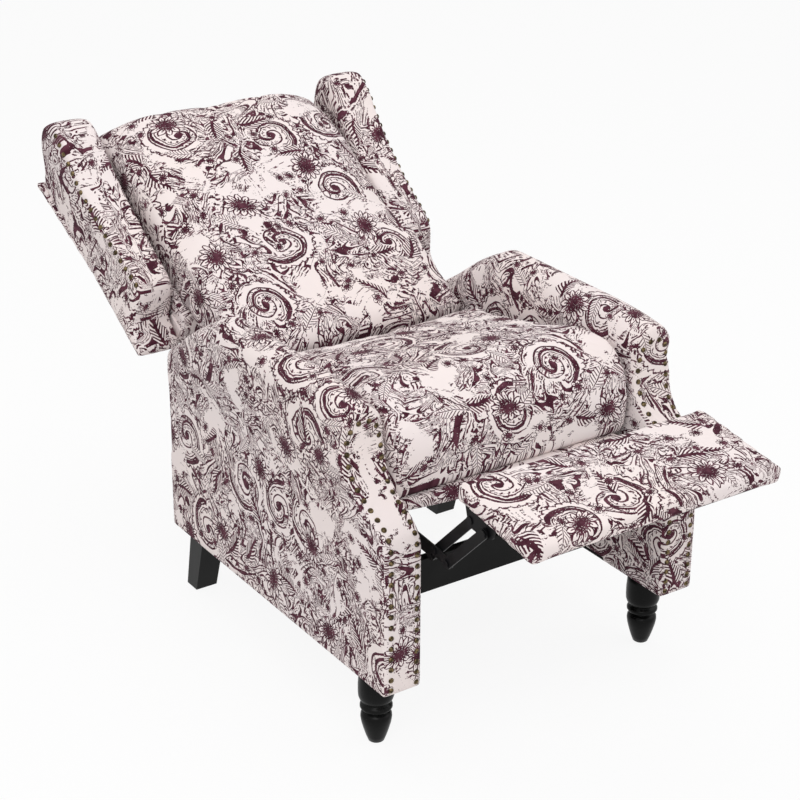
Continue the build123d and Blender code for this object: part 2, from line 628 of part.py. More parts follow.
bottom_x, top_x = wing_x(BACK_BOTTOM_S), wing_x(BACK_TOP_S)
panel = make_face(
    Polyline(
        (BACK_BOTTOM_S, -bottom_x),
        (BACK_TOP_S, -top_x),
        (BACK_TOP_S, top_x),
        (BACK_BOTTOM_S, bottom_x),
        close=True,
    )
)
nodes["back_panel"] = extrude(front_view(0) * panel, PANEL_THICKNESS)

wing_corners = [
    (BACK_BOTTOM_S, PANEL_THICKNESS, 0),
    (WING_LOBE_S - 15, PANEL_THICKNESS + 19, 10),
    (WING_LOBE_S, WING_LOBE_N, 30),
    (WING_LOBE_S + 182, WING_LOBE_N + 10, 350),
    (BACK_TOP_S - 24, WING_TOP_N, 30),
    (BACK_TOP_S, WING_TOP_N - 58, 40),
    (BACK_TOP_S, PANEL_THICKNESS, 0),
]
wing = slab(back_side(ARM_INNER_X), wing_corners, top_x - ARM_INNER_X + 20)
flare = make_face(
    Polyline(
        (BACK_BOTTOM_S - 40, -ARM_INNER_X),
        (BACK_TOP_S + 40, -ARM_INNER_X),
        (BACK_TOP_S + 40, -wing_x(BACK_TOP_S + 40)),
        (BACK_BOTTOM_S - 40, -wing_x(BACK_BOTTOM_S - 40)),
        close=True,
    )
)
wing &= extrude(front_view(0) * flare, 2 * WING_TOP_N)
pair("wing", wing)

# ---- Origin: on the floor under the middle of the chair as it is drawn ----
boxes = [shape.bounding_box() for shape in nodes.values()]
FRONT_END = min(box.min.Y for box in boxes)
REAR_END = max(box.max.Y for box in boxes)
ORIGIN_Y = (FRONT_END + REAR_END) / 2
for name, shape in nodes.items():
    solids = [Pos(0, -ORIGIN_Y, 0) * solid for solid in shape.solids()]
    export_step(solids[0] if len(solids) == 1 else Compound(solids), f"parts/{name}.step")

print("moved along Y by", round(-ORIGIN_Y, 4), "length", round(REAR_END - FRONT_END, 1))
pivots = {
    "front base pivot": base_pivots[0],
    "rear base pivot": base_pivots[1],
    "front seat pivot": SEAT_PIVOT_FRONT,
    "rear seat pivot": SEAT_PIVOT_REAR,
    "back hinge": BACK_HINGE,
    "foot pivot": FOOT_PIVOT,
    "drive end": drive_end,
    "fold end": fold_end,
    "crossing": crossing,
    "cross end": cross_end,
    "stay foot": stay_foot,
    "stay end": stay_end,
}
for name, (y, z) in pivots.items():
    print(name, round(y - ORIGIN_Y, 4), round(z, 4))
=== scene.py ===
# %% [markdown]
# # A wingback recliner, dressed in a printed cloth
#
# The model comes in from the workshop as hard solids: frames, steel links, plain
# cushion blocks. This lesson keeps the hard parts, gives them their finishes, and
# makes every soft part again as an upholsterer would: padded, wrapped and nailed.

# %% Load the frame and keep its box
import json
import math

import bmesh
import bpy
import numpy as np
from mathutils import Matrix, Vector
from mathutils.bvhtree import BVHTree


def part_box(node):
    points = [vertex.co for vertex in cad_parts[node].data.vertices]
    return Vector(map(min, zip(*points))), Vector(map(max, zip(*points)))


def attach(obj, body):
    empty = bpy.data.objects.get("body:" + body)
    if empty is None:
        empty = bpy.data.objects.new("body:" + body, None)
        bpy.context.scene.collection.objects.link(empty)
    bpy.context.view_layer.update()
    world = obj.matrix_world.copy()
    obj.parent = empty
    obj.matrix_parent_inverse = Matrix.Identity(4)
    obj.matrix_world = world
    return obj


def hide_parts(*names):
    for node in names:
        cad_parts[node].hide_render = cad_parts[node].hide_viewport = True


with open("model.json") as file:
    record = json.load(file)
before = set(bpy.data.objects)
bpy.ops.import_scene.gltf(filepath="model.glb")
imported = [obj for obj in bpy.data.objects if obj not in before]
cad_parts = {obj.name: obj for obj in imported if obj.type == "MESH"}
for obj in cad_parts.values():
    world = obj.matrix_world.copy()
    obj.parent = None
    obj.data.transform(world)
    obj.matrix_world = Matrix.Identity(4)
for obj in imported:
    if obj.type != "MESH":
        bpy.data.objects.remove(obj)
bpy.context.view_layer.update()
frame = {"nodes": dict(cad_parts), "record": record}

MM = 0.001
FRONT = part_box("left_arm_facing")[0].y  # the front of the arms, in the shared frame
print("the arms start at y =", round(FRONT, 4))

# %% [markdown]
# ## Two ways to say where something is
#
# The base and the seat are measured back from the front of the arms and up from the
# floor. The reclined back has its own ruler: `s` runs up along it, `n` stands out from
# its rear panel. Both are in millimetres here, and both end up in the shared frame.
# `past` and `hold` read the same ruler backwards, for all the points of a piece.


# %% Places on the chair
BACK_ANGLE = math.radians(29.6)


def at(x, y, z):
    """A point by its distance behind the front of the arms and above the floor."""
    return Vector((x * MM, y * MM + FRONT, z * MM))


def on_back(x, s, n):
    """A point by its distance up along the reclined back and out from its panel."""
    c, d = math.cos(BACK_ANGLE), math.sin(BACK_ANGLE)
    return at(x, s * c - n * d, s * d + n * c)


UP_BACK = np.array((on_back(0, 1, 0) - on_back(0, 0, 0)) / MM)
OUT_OF_BACK = np.array((on_back(0, 0, 1) - on_back(0, 0, 0)) / MM)


def past(co, place, way):
    """How far points lie past a place, along a direction, in millimetres."""
    return (co @ way) / MM - np.array(place) @ way / MM


def hold(co, place, way, where=1):
    """Points that fall short of a place, along a direction, are brought up to it."""
    short = np.minimum((co - np.array(place)) @ way, 0) * where
    return co - np.outer(short, way)


def soft_step(t):
    """From 0 to 1 with a gentle start and end."""
    t = np.clip(t, 0, 1)
    return t * t * (3 - 2 * t)


print("the back lies", round(math.degrees(BACK_ANGLE), 1), "degrees from level")


# %% [markdown]
# ## Shader maths that reads like maths
#
# A material is a web of nodes. Wrapping each socket in a small class lets ordinary
# Python operators add the Math nodes, so a pattern can be written as a formula.


# %% The wrapper
class Wire:
    """A shader socket that can be used in sums."""

    def __init__(self, socket):
        self.socket = socket
        self.tree = socket.id_data

    def make(self, kind, *values, out=0, **settings):
        """Any node: its settings first, then its inputs, by order or as a dict by name."""
        node = self.tree.nodes.new(kind)
        for key, value in settings.items():
            setattr(node, key, value)
        pairs = []
        for i, value in enumerate(values):
            pairs += value.items() if isinstance(value, dict) else [(i, value)]
        for key, value in pairs:
            if isinstance(value, Wire):
                self.tree.links.new(value.socket, node.inputs[key])
            elif value is not None:
                node.inputs[key].default_value = value
        return Wire(node.outputs[out])

    def math(self, operation, *values, clamp=False):
        return self.make("ShaderNodeMath", *values, operation=operation, use_clamp=clamp)

    def vector(self, operation, *values, out=0):
        return self.make("ShaderNodeVectorMath", *values, operation=operation, out=out)

    def __add__(self, other):
        return self.math("ADD", self, other)

    def __sub__(self, other):
        return self.math("SUBTRACT", self, other)

    def __rsub__(self, other):
        return self.math("SUBTRACT", other, self)

    def __mul__(self, other):
        return self.math("MULTIPLY", self, other)

    def __truediv__(self, other):
        return self.math("DIVIDE", self, other)

    def __rtruediv__(self, other):
        return self.math("DIVIDE", other, self)

    def __pow__(self, other):
        return self.math("POWER", self, other)

    def __rpow__(self, other):
        return self.math("POWER", other, self)

    def __gt__(self, other):
        return self.math("GREATER_THAN", self, other)

    def __lt__(self, other):
        return self.math("LESS_THAN", self, other)

    __radd__ = __add__
    __rmul__ = __mul__

    def step(self, low, high):
        """0 below low, 1 above high, and smooth between."""
        keys = {"Value": self, "From Min": low, "From Max": high}
        return self.make("ShaderNodeMapRange", keys, interpolation_type="SMOOTHSTEP")

    def top(self, other):
        """The greater of the two."""
        return self.math("MAXIMUM", self, other)

    def size(self):
        """The value without its sign."""
        return self.math("ABSOLUTE", self)

    def sine(self):
        return self.math("SINE", self)

    def parts(self):
        """The x and y of a vector."""
        return [self.make("ShaderNodeSeparateXYZ", self, out=i) for i in (0, 1)]

    def mix(self, under, over):
        """Two colours mixed by this value."""
        node = {"Factor": self, 6: under, 7: over}
        return self.make("ShaderNodeMix", node, data_type="RGBA", out=2)

    def noise(self, scale, detail=2.0, roughness=0.5, **more):
        keys = {"Vector": self, "Scale": scale, "Detail": detail, "Roughness": roughness, **more}
        return self.make("ShaderNodeTexNoise", keys, out="Fac")


def material(name):
    """A new material, its shader node, and a wire to start formulas from."""
    made = bpy.data.materials.new(name)
    made.use_nodes = True
    shader = made.node_tree.nodes["Principled BSDF"]
    start = Wire(made.node_tree.nodes.new("ShaderNodeTexCoord").outputs["Object"])
    return made, shader, start


def plug(shader, **inputs):
    """Numbers are set on the shader's own sockets, wires are linked to them."""
    for name, value in inputs.items():
        socket = shader.inputs[name.replace("_", " ")]
        if isinstance(value, Wire):
            value.tree.links.new(value.socket, socket)
        else:
            socket.default_value = value


print("shader maths ready")

# %% [markdown]
# ## The printed cloth
#
# The cover is a cotton print in the manner of old engraved furnishing cloths: dark
# wine-coloured scrolls, daisies, sprigs and hatching on a pale pink ground. It could
# be painted as an image, but formulas keep it sharp at any size. Cells from a Voronoi
# pattern place the motifs, each turned its own way, and polar coordinates draw them.
# Everything reads the piece's own map, `cloth`, which is in metres on the surface.

# %% Colours and scattered places
GROUND = (0.83, 0.745, 0.735, 1)
GROUND_WARM = (0.84, 0.745, 0.722, 1)
INK = (0.050, 0.010, 0.020, 1)
INK_SOFT = (0.115, 0.036, 0.055, 1)


def cells(cloth, spacing, seed, jitter):
    """Round the nearest of many scattered points: the way to it, two dice, the border."""
    shifted = cloth.vector("ADD", cloth, (seed * 0.37, seed * 0.61, 0))
    keys = {"Vector": shifted, "Scale": 1 / spacing, "Randomness": jitter}
    flat = {"voronoi_dimensions": "2D"}
    centre = cloth.make("ShaderNodeTexVoronoi", keys, out="Position", feature="F1", **flat)
    throw = cloth.make("ShaderNodeTexVoronoi", keys, out="Color", feature="F1", **flat)
    edge = cloth.make("ShaderNodeTexVoronoi", keys, out="Distance", feature="DISTANCE_TO_EDGE", **flat)
    return cloth.vector("SUBTRACT", shifted, centre), throw.parts(), edge


def turned(local, angle):
    """A motif's own place, turned about its middle."""
    keys = {"Vector": local, "Angle": angle}
    return local.make("ShaderNodeVectorRotate", keys, rotation_type="Z_AXIS")


def polar(local):
    """Distance from a motif's middle, and the angle round it."""
    x, y = local.parts()
    return local.vector("LENGTH", local, out="Value"), local.math("ARCTAN2", y, x)


print("ground", GROUND[:3], "and ink", INK[:3])

# %% [markdown]
# ### Scrolls
#
# An acanthus scroll is a leafy band wound up. Here straight bands are twisted more and
# more towards the middle of each cell, which winds them. A volute is a single stalk,
# drawn as a spiral: its radius grows evenly with the angle.


# %% Scrolls
def acanthus(cloth, width, spacing, turns, seed, rough):
    """Leafy bands wound into scrolls: ink of their outlines, hatching and ribs."""
    local, (dice, _), edge = cells(cloth, spacing, seed, 0.8)
    hand = 1 - (dice > 0.5) * 2.0
    wind = edge.step(0.0, 0.55) ** 1.4 * turns * math.tau * hand
    wound = turned(local, wind + dice * 9.0)
    across, along = wound.parts()
    sway = wound.noise(5.0, 2.0) * 1.6
    level = across / width + sway
    t = level.math("FRACT", level)
    lobes = (along * (math.pi / (width * 0.75)) + sway * 3.0).sine().size()
    far = 0.55 + 0.26 * lobes + rough * 0.10
    near = 0.16 - 0.05 * lobes
    inside = (t - near).step(-0.02, 0.02) * (far - t).step(-0.02, 0.02)
    swell = cloth.noise(26.0, 1.0).step(0.3, 0.7) * 0.065 + 0.030
    outline = (t - far).size() / swell
    spine = (t - near).size() / (swell * 1.5)
    ink = outline.step(1.25, 0.7).top(spine.step(1.25, 0.7))
    lines = (t * 46.0 + rough * 7.0).sine().step(-0.35, 0.35) * t.step(0.50, 0.26)
    ribs = (along * (math.tau / (width * 0.20)) + t * 13.0 + rough * 6.0).sine()
    ribs = ribs.step(-0.15, 0.5) * t.step(0.26, 0.40) * (far - t).step(0.0, 0.12)
    broken = cloth.noise(120.0, 2.0).step(0.40, 0.50)
    return ink.top(inside * lines.top(ribs) * broken), inside.top(ink)


def volute(local, radius, turns, rough):
    """A stalk that winds into a round eye, thick at its outer end and leafy outside."""
    r, turn = polar(local)
    r = r / radius + rough * 0.03
    pitch = 1 / turns
    level = r / pitch - turn / math.tau + 20.0
    t = level.math("FRACT", level)
    weight = r.step(0.0, 1.0) * 0.26 + 0.20
    middle = (t - 0.5).size()
    stalk = (weight - middle).step(-0.03, 0.03)
    edge = (middle - weight).size().step(0.085, 0.04)
    shade = (t * 40.0 + rough * 8.0).sine().step(-0.2, 0.4) * (t - 0.5).step(-0.06, 0.10) * stalk
    dots = (turn * 9.0 + r * 20.0).sine().step(0.55, 0.8) * middle.step(0.12, 0.05)
    eye = r.step(0.17, 0.13)
    frill = (turn * 13.0 + rough * 4.0).sine().size() * 0.10
    outer_turn = (turn + 0.9).step(-0.3, 0.3)
    reach = (1.0 + frill - r).step(-0.01, 0.02) * r.step(0.66, 0.58).top(outer_turn)
    rim = ((r - 1.0) - frill).size().step(0.040, 0.02) * (turn + 0.6).step(-0.4, 0.2)
    ink = edge.top(shade).top(dots * stalk * 0.9).top(eye)
    return (ink * reach).top(rim), (stalk.top(edge) * reach).top(r.step(0.32, 0.28)).top(rim)


print("scrolls ready")

# %% [markdown]
# ### Flowers, ferns and leaves
#
# Each of these is drawn round its own middle. Polar coordinates suit a flower, because
# its petals repeat with the angle. A fern or a leaf lies along a rib instead, so plain
# x and y suit it. `rough` shakes every edge a little, as a block printer's hand does.


# %% Flowers, ferns and leaves
def sunflower(local, radius, petals, rough, fine):
    """A dark seed head seen a little from the side, with pointed, veined petals."""
    x, y = local.parts()
    seen_aslant = 1.28
    leaning = local.make("ShaderNodeCombineXYZ", x, y * seen_aslant)
    r, turn = polar(leaning)
    r = r / radius + rough * 0.05
    spoke = turn * (petals / math.tau)
    t = (spoke.math("FRACT", spoke) - 0.5).size()
    reach = (r - 0.30) / 0.66
    belly = (reach * math.pi).sine() * 0.40 + 0.06
    within = (belly - t).step(-0.02, 0.02) * reach.step(-0.02, 0.02) * reach.step(1.0, 0.96)
    rim = (belly - t).size().step(0.14, 0.07) * reach.step(0.0, 0.04) * reach.step(1.04, 0.98)
    vein = t.step(0.14, 0.07) * reach.step(0.75, 0.45)
    root = reach.step(0.55, 0.20) * (fine > 0.42)
    head = (r - 0.43 + rough * 0.12).step(0.03, -0.03)
    seeds = head * (fine > 0.60) * r.step(0.05, 0.3)
    ink = rim.top(within * vein).top(within * root).top(head - seeds * 0.8)
    return ink, within.top(head).top(rim)


def fern(local, length, rough):
    """A tapering frond: a dark rib and slanting leaflets that fray at their ends."""
    x, y = local.parts()
    x = x / length
    y = y / length + (x * 2.6).sine() * 0.10
    up = x * 0.5 + 0.5
    width = (up.step(0.0, 0.30) * (1 - up) * 0.62 + 0.02) * (1 + rough * 0.5)
    side = y.size()
    comb = (x * 30.0 - side * 34.0 + rough * 3.0).sine()
    inside = (width - side).step(-0.02, 0.03) * up.step(0.0, 0.02) * up.step(1.0, 0.98)
    leaflets = comb.step(-0.35, 0.15) * inside
    core = side.step(0.12, 0.05) * up.step(0.95, 0.6)
    return leaflets.top(core * inside), inside


def leaf(local, length, rough):
    """A saw-edged oval leaf with a midrib and side veins."""
    x, y = local.parts()
    x, y = x / length, y / length
    width = (1 - x * x).top(0.0) * 0.40
    saw = (x * 38.0).sine() * 0.035
    side = y.size()
    inside = (width + saw - side).step(-0.01, 0.02)
    rim = (width + saw - side).size().step(0.050, 0.02)
    veins = (x * 30.0 - side * 26.0).sine().step(0.25, 0.8) * side.step(0.02, 0.08)
    rib = side.step(0.035, 0.015)
    return (rim * x.size().step(1.06, 1.0)).top(inside * veins).top(inside * rib), inside


print("flowers, ferns and leaves ready")

# %% [markdown]
# ### The print put together
#
# The motifs lie over each other as in a drawn pattern. The body of each hides what is
# under it, and its ink is drawn on top. Hatching fills what is left of the ground, a
# fine noise breaks up the ink, and a bump gives the weave.


# %% The whole print
def either(choice, first, second):
    """First or second, by a wire that is 0 or 1."""
    return choice.make("ShaderNodeMix", {"Factor": choice, 2: first, 3: second})


def printed_cloth():
    made, shader, start = material("printed_cloth")
    cloth = start.make("ShaderNodeUVMap", out="UV", uv_map="cloth")
    fine = cloth.noise(360.0, 2.0)
    rough = cloth.noise(85.0, 2.0) - 0.5
    keys = {"Vector": cloth, "Scale": 11.0, "Detail": 2.0}
    bend = cloth.make("ShaderNodeTexNoise", keys, out="Color")
    bend = cloth.vector("SUBTRACT", bend, (0.5, 0.5, 0.5))
    drawn = cloth.vector("MULTIPLY_ADD", bend, (0.035, 0.035, 0.0), cloth)

    big_ink, big_body = acanthus(drawn, 0.050, 0.17, 0.85, 1.0, rough)
    small_ink, small_body = acanthus(drawn, 0.031, 0.10, 0.8, 5.0, rough)
    where_big = cloth.noise(6.0, 1.0).step(0.46, 0.50)
    ink = either(where_big, small_ink, big_ink)
    body = either(where_big, small_body, big_body)
    clearing = cloth.noise(10.0, 2.0).step(0.54, 0.58)
    ink = ink * (1 - clearing)

    local, (dice, throw), _ = cells(drawn, 0.150, 7.0, 0.85)
    whirl_ink, whirl_body = volute(turned(local, dice * 40.0), 0.058, 1.6, rough)
    whirl_body = whirl_body * (throw > 0.38)
    ink = either(whirl_body, ink, whirl_ink)
    body = body.top(whirl_body)

    strokes = drawn.vector("MULTIPLY", drawn, (1.0, 2.6, 1.0)).noise(75.0, 3.0, 0.75)
    hatch = strokes.step(0.50, 0.55) * cloth.noise(17.0, 1.0).step(0.41, 0.51)
    ink = ink.top(hatch * (1 - body))

    local, (dice, throw), _ = cells(drawn, 0.088, 2.0, 0.85)
    local = turned(local, dice * 40.0)
    fern_ink, fern_body = fern(local, 0.040, rough)
    leaf_ink, leaf_body = leaf(local, 0.030, rough)
    kind = throw > 0.62
    shown = throw > 0.28
    ink = either(either(kind, fern_body, leaf_body) * shown, ink, either(kind, fern_ink, leaf_ink))

    local, (dice, throw), _ = cells(drawn, 0.056, 3.0, 0.9)
    bud_ink, bud_body = sunflower(turned(local, dice * 40.0), 0.0145, 6, rough, fine)
    ink = either(bud_body * (throw > 0.5), ink, bud_ink)

    local, (dice, throw), _ = cells(drawn, 0.165, 4.0, 0.9)
    big_ink, big_body = sunflower(turned(local, dice * 40.0), 0.038, 13, rough, fine)
    ink = either(big_body * (throw > 0.30), ink, big_ink)

    worn = (ink * 0.9 + (fine - 0.5) * 2.0).step(0.40, 0.56) * (ink > 0.12)
    ground = cloth.noise(3.0, 1.0).step(0.35, 0.65).mix(GROUND, GROUND_WARM)
    dark = cloth.noise(60.0, 1.0).step(0.35, 0.75).mix(INK, INK_SOFT)
    colour = worn.mix(ground, dark)
    x, y = cloth.parts()
    warp, weft = 0.0011, 0.0013
    weave = (x * (math.tau / warp)).sine() * (y * (math.tau / weft)).sine()
    keys = {"Strength": 0.15, "Distance": 0.0004, "Height": weave * 0.5 + fine}
    bump = cloth.make("ShaderNodeBump", keys)
    plug(shader, Base_Color=colour, Roughness=0.82 + 0.12 * fine, Normal=bump)
    plug(shader, Sheen_Weight=0.03, Sheen_Roughness=0.5, Specular_IOR_Level=0.12)
    return made


PRINT = printed_cloth()
print("printed cloth has", len(PRINT.node_tree.nodes), "nodes")

# %% [markdown]
# ## Hard finishes
#
# Black lacquer over turned wood, powder-coated steel, bare steel pins, antique brass,
# plywood, woven elastic, and plain cloth where the print isn't needed. Each gets a
# little variation in colour and gloss, because no real surface is one even colour.


# %% Wood, steel, brass and elastic
def lacquer():
    made, shader, start = material("black_lacquer")
    grain = start.vector("MULTIPLY", start, (60.0, 60.0, 6.0)).noise(3.0, 4.0, 0.6)
    patches = start.noise(14.0, 2.0)
    colour = patches.step(0.3, 0.7).mix((0.001, 0.001, 0.001, 1), (0.004, 0.004, 0.004, 1))
    bump = start.make("ShaderNodeBump", {"Strength": 0.06, "Distance": 0.0006, "Height": grain})
    plug(shader, Base_Color=colour, Roughness=0.26 + 0.16 * patches, Normal=bump)
    plug(shader, Specular_IOR_Level=0.09, Coat_Weight=0.06, Coat_Roughness=0.18)
    return made


def bare_wood():
    made, shader, start = material("frame_plywood")
    rings = start.vector("MULTIPLY", start, (5.0, 60.0, 60.0)).noise(2.2, 4.0, 0.6)
    colour = rings.step(0.3, 0.7).mix((0.56, 0.40, 0.23, 1), (0.40, 0.27, 0.14, 1))
    bump = start.make("ShaderNodeBump", {"Strength": 0.15, "Distance": 0.0008, "Height": rings})
    plug(shader, Base_Color=colour, Roughness=0.62 + 0.15 * rings, Normal=bump)
    return made


def black_steel():
    made, shader, start = material("black_powder_coat")
    peel = start.noise(650.0, 2.0)
    patches = start.noise(22.0, 2.0)
    colour = patches.step(0.35, 0.7).mix((0.002, 0.002, 0.002, 1), (0.006, 0.006, 0.007, 1))
    bump = start.make("ShaderNodeBump", {"Strength": 0.10, "Distance": 0.0004, "Height": peel})
    plug(shader, Base_Color=colour, Roughness=0.36 + 0.14 * patches, Normal=bump)
    plug(shader, Specular_IOR_Level=0.12)
    return made


def pin_steel():
    made, shader, start = material("dull_pin_steel")
    scuffs = start.noise(300.0, 2.0)
    colour = scuffs.step(0.3, 0.7).mix((0.16, 0.10, 0.10, 1), (0.26, 0.20, 0.19, 1))
    plug(shader, Base_Color=colour, Metallic=0.85, Roughness=0.36 + 0.12 * scuffs)
    return made


def antique_brass():
    made, shader, start = material("antique_brass")
    tarnish = start.noise(210.0, 2.0)
    colour = tarnish.step(0.40, 0.66).mix((0.035, 0.026, 0.014, 1), (0.20, 0.145, 0.072, 1))
    plug(shader, Base_Color=colour, Metallic=0.9, Roughness=0.30 + 0.22 * tarnish)
    return made


def elastic():
    made, shader, start = material("woven_elastic")
    x, y = start.parts()
    ribs = (x * (math.tau / 0.003)).sine() * (y * (math.tau / 0.0016)).sine()
    colour = ribs.step(-0.2, 0.4).mix((0.002, 0.002, 0.002, 1), (0.009, 0.008, 0.008, 1))
    bump = start.make("ShaderNodeBump", {"Strength": 0.4, "Distance": 0.0008, "Height": ribs})
    plug(shader, Base_Color=colour, Roughness=0.85, Specular_IOR_Level=0.10, Normal=bump)
    return made


def plain_cloth():
    made, shader, start = material("plain_cloth")
    slubs = start.noise(300.0, 2.0)
    colour = slubs.step(0.3, 0.7).mix(GROUND, GROUND_WARM)
    plug(shader, Base_Color=colour, Roughness=0.85 + 0.1 * slubs)
    return made


print("hard finishes ready")

# %% [markdown]
# ## Finishes on the solids
#
# Every solid names a finish in the workshop's list, so most need only be looked up.
# Wood that shows between the covers is blackened, or has plain cloth glued over it.
# The footrest's board is black partly as its dust cloth and partly as painted shade:
# its edge below the pad reads as a dark shadow line.

# %% Each solid's finish
LACQUER, PLY, STEEL, PLAIN = lacquer(), bare_wood(), black_steel(), plain_cloth()
PINS, BRASS, ELASTIC = pin_steel(), antique_brass(), elastic()
FINISH = {
    "printed_cover": PRINT,
    "black_wood": LACQUER,
    "frame_wood": PLY,
    "black_steel": STEEL,
    "pin_steel": PINS,
    "elastic_webbing": ELASTIC,
}
slot_of = {part["node"]: part["material_slot"] for part in frame["record"]["subparts"]}
for name, node in frame["nodes"].items():
    node.data.materials.clear()
    node.data.materials.append(FINISH[slot_of[name]])
# The footrest board's black is partly a dust cloth and partly painted shade under the pad.
BLACK_AND_PAINTED_SHADE = ("seat_rear_rail", "footrest_board")
CLOTHED = ("back_bottom_rail", "back_top_rail", "left_back_post", "right_back_post")
for names, finish in ((BLACK_AND_PAINTED_SHADE, LACQUER), (CLOTHED, PLAIN)):
    for name in names:
        frame["nodes"][name].data.materials[0] = finish
print("finishes on", len(frame["nodes"]), "nodes")

# %% [markdown]
# ## Shared tools for soft pieces
#
# A padded piece starts as a plain block: an outline drawn in the side view and pulled
# out sideways. A voxel remesh turns it into an even net of small quads, which smooths
# well and can be blown up by the cloth solver. Its map is wrapped last, like cloth
# round a board: along a guide line for the length of cloth, across for its width.


# %% From an outline to an even net
def block(name, outline, x0, x1, place):
    """A closed prism: an outline through place(x, u, v), pulled from x0 to x1."""
    bm = bmesh.new()
    ring = [bm.verts.new(place(x0, u, v)) for u, v in outline]
    face = bm.faces.new(ring)
    made = bmesh.ops.extrude_face_region(bm, geom=[face])
    moved = [g for g in made["geom"] if isinstance(g, bmesh.types.BMVert)]
    bmesh.ops.translate(bm, verts=moved, vec=((x1 - x0) * MM, 0, 0))
    bmesh.ops.recalc_face_normals(bm, faces=bm.faces)
    return finish_mesh(bm, name)


def finish_mesh(bm, name):
    """Turns a bmesh into an object of the scene."""
    mesh = bpy.data.meshes.new(name)
    bm.to_mesh(mesh)
    bm.free()
    made = bpy.data.objects.new(name, mesh)
    bpy.context.scene.collection.objects.link(made)
    return made


def settle(obj):
    """Makes the modifiers' result the piece's own mesh."""
    bpy.context.view_layer.update()
    graph = bpy.context.evaluated_depsgraph_get()
    mesh = bpy.data.meshes.new_from_object(obj.evaluated_get(graph))
    obj.modifiers.clear()
    obj.data = mesh
    return obj


def net(obj, voxel):
    """An even net of quads over a closed piece, with meshes of one voxel."""
    remesh = obj.modifiers.new("net", "REMESH")
    remesh.mode = "VOXEL"
    remesh.voxel_size = voxel * MM
    return settle(obj)


def relax(obj, rounds, where=None):
    """Smooths the net, or a part of it, which rounds its edges as padding does."""
    bm = bmesh.new()
    bm.from_mesh(obj.data)
    verts = [v for v in bm.verts if where is None or where(v.co)]
    every = {"use_axis_x": True, "use_axis_y": True, "use_axis_z": True}
    for _ in range(rounds):
        bmesh.ops.smooth_vert(bm, verts=verts, factor=0.5, **every)
    bm.to_mesh(obj.data)
    bm.free()
    return obj


def points(obj):
    """All the points of a piece, as rows of x, y and z in metres."""
    co = np.empty(len(obj.data.vertices) * 3)
    obj.data.vertices.foreach_get("co", co)
    return co.reshape(-1, 3)


def set_points(obj, co):
    obj.data.vertices.foreach_set("co", np.ascontiguousarray(co, dtype=np.float32).ravel())
    obj.data.update()
    return obj


def finer(obj):
    """Each quad of the net becomes four, which hides its facets."""
    smooth = obj.modifiers.new("finer", "SUBSURF")
    smooth.levels = smooth.render_levels = 1
    return settle(obj)


def shade_smooth(obj):
    obj.data.polygons.foreach_set("use_smooth", [True] * len(obj.data.polygons))
    return obj


print("soft tools ready")


# %% [markdown]
# ## Blowing up a cushion
#
# Foam and fibre push the cover outwards until the cloth holds them. Blender's cloth
# solver does that with its pressure setting. Gravity is off, the push is short, and
# no point may travel further than a set cap, so the cushion keeps its tailored shape.


# %% The pressure step
def blow_up(obj, cap, pressure=4.0, frames=20):
    """Pushes a piece out by its pressure, no point further than cap, in millimetres."""
    start = points(obj)
    cloth = obj.modifiers.new("pressure", "CLOTH")
    cloth.settings.use_pressure = True
    cloth.settings.uniform_pressure_force = pressure
    cloth.settings.effector_weights.gravity = 0
    cloth.settings.quality = 5
    cloth.collision_settings.use_collision = False
    scene = bpy.context.scene
    for i in range(1, frames + 1):
        scene.frame_set(i)
    graph = bpy.context.evaluated_depsgraph_get()
    shaped = obj.evaluated_get(graph)
    co = np.empty(len(shaped.data.vertices) * 3)
    shaped.data.vertices.foreach_get("co", co)
    obj.modifiers.clear()
    scene.frame_set(1)
    move = co.reshape(-1, 3) - start
    length = np.linalg.norm(move, axis=1, keepdims=True)
    move *= np.minimum(1, cap * MM / np.maximum(length, 1e-9))
    print(obj.name, "swelled by up to", round(float(min(length.max(), cap * MM)) * 1000, 1), "mm")
    return set_points(obj, start + move)


print("pressure step ready")


# %% [markdown]
# ## Wrapping the cloth
#
# `wrap` gives each corner of each face its place on the flat cloth. Faces that look
# along the piece's own axis are its end panels and lie flat. All others are wound
# round a guide line, and their place is how far along that line they are.


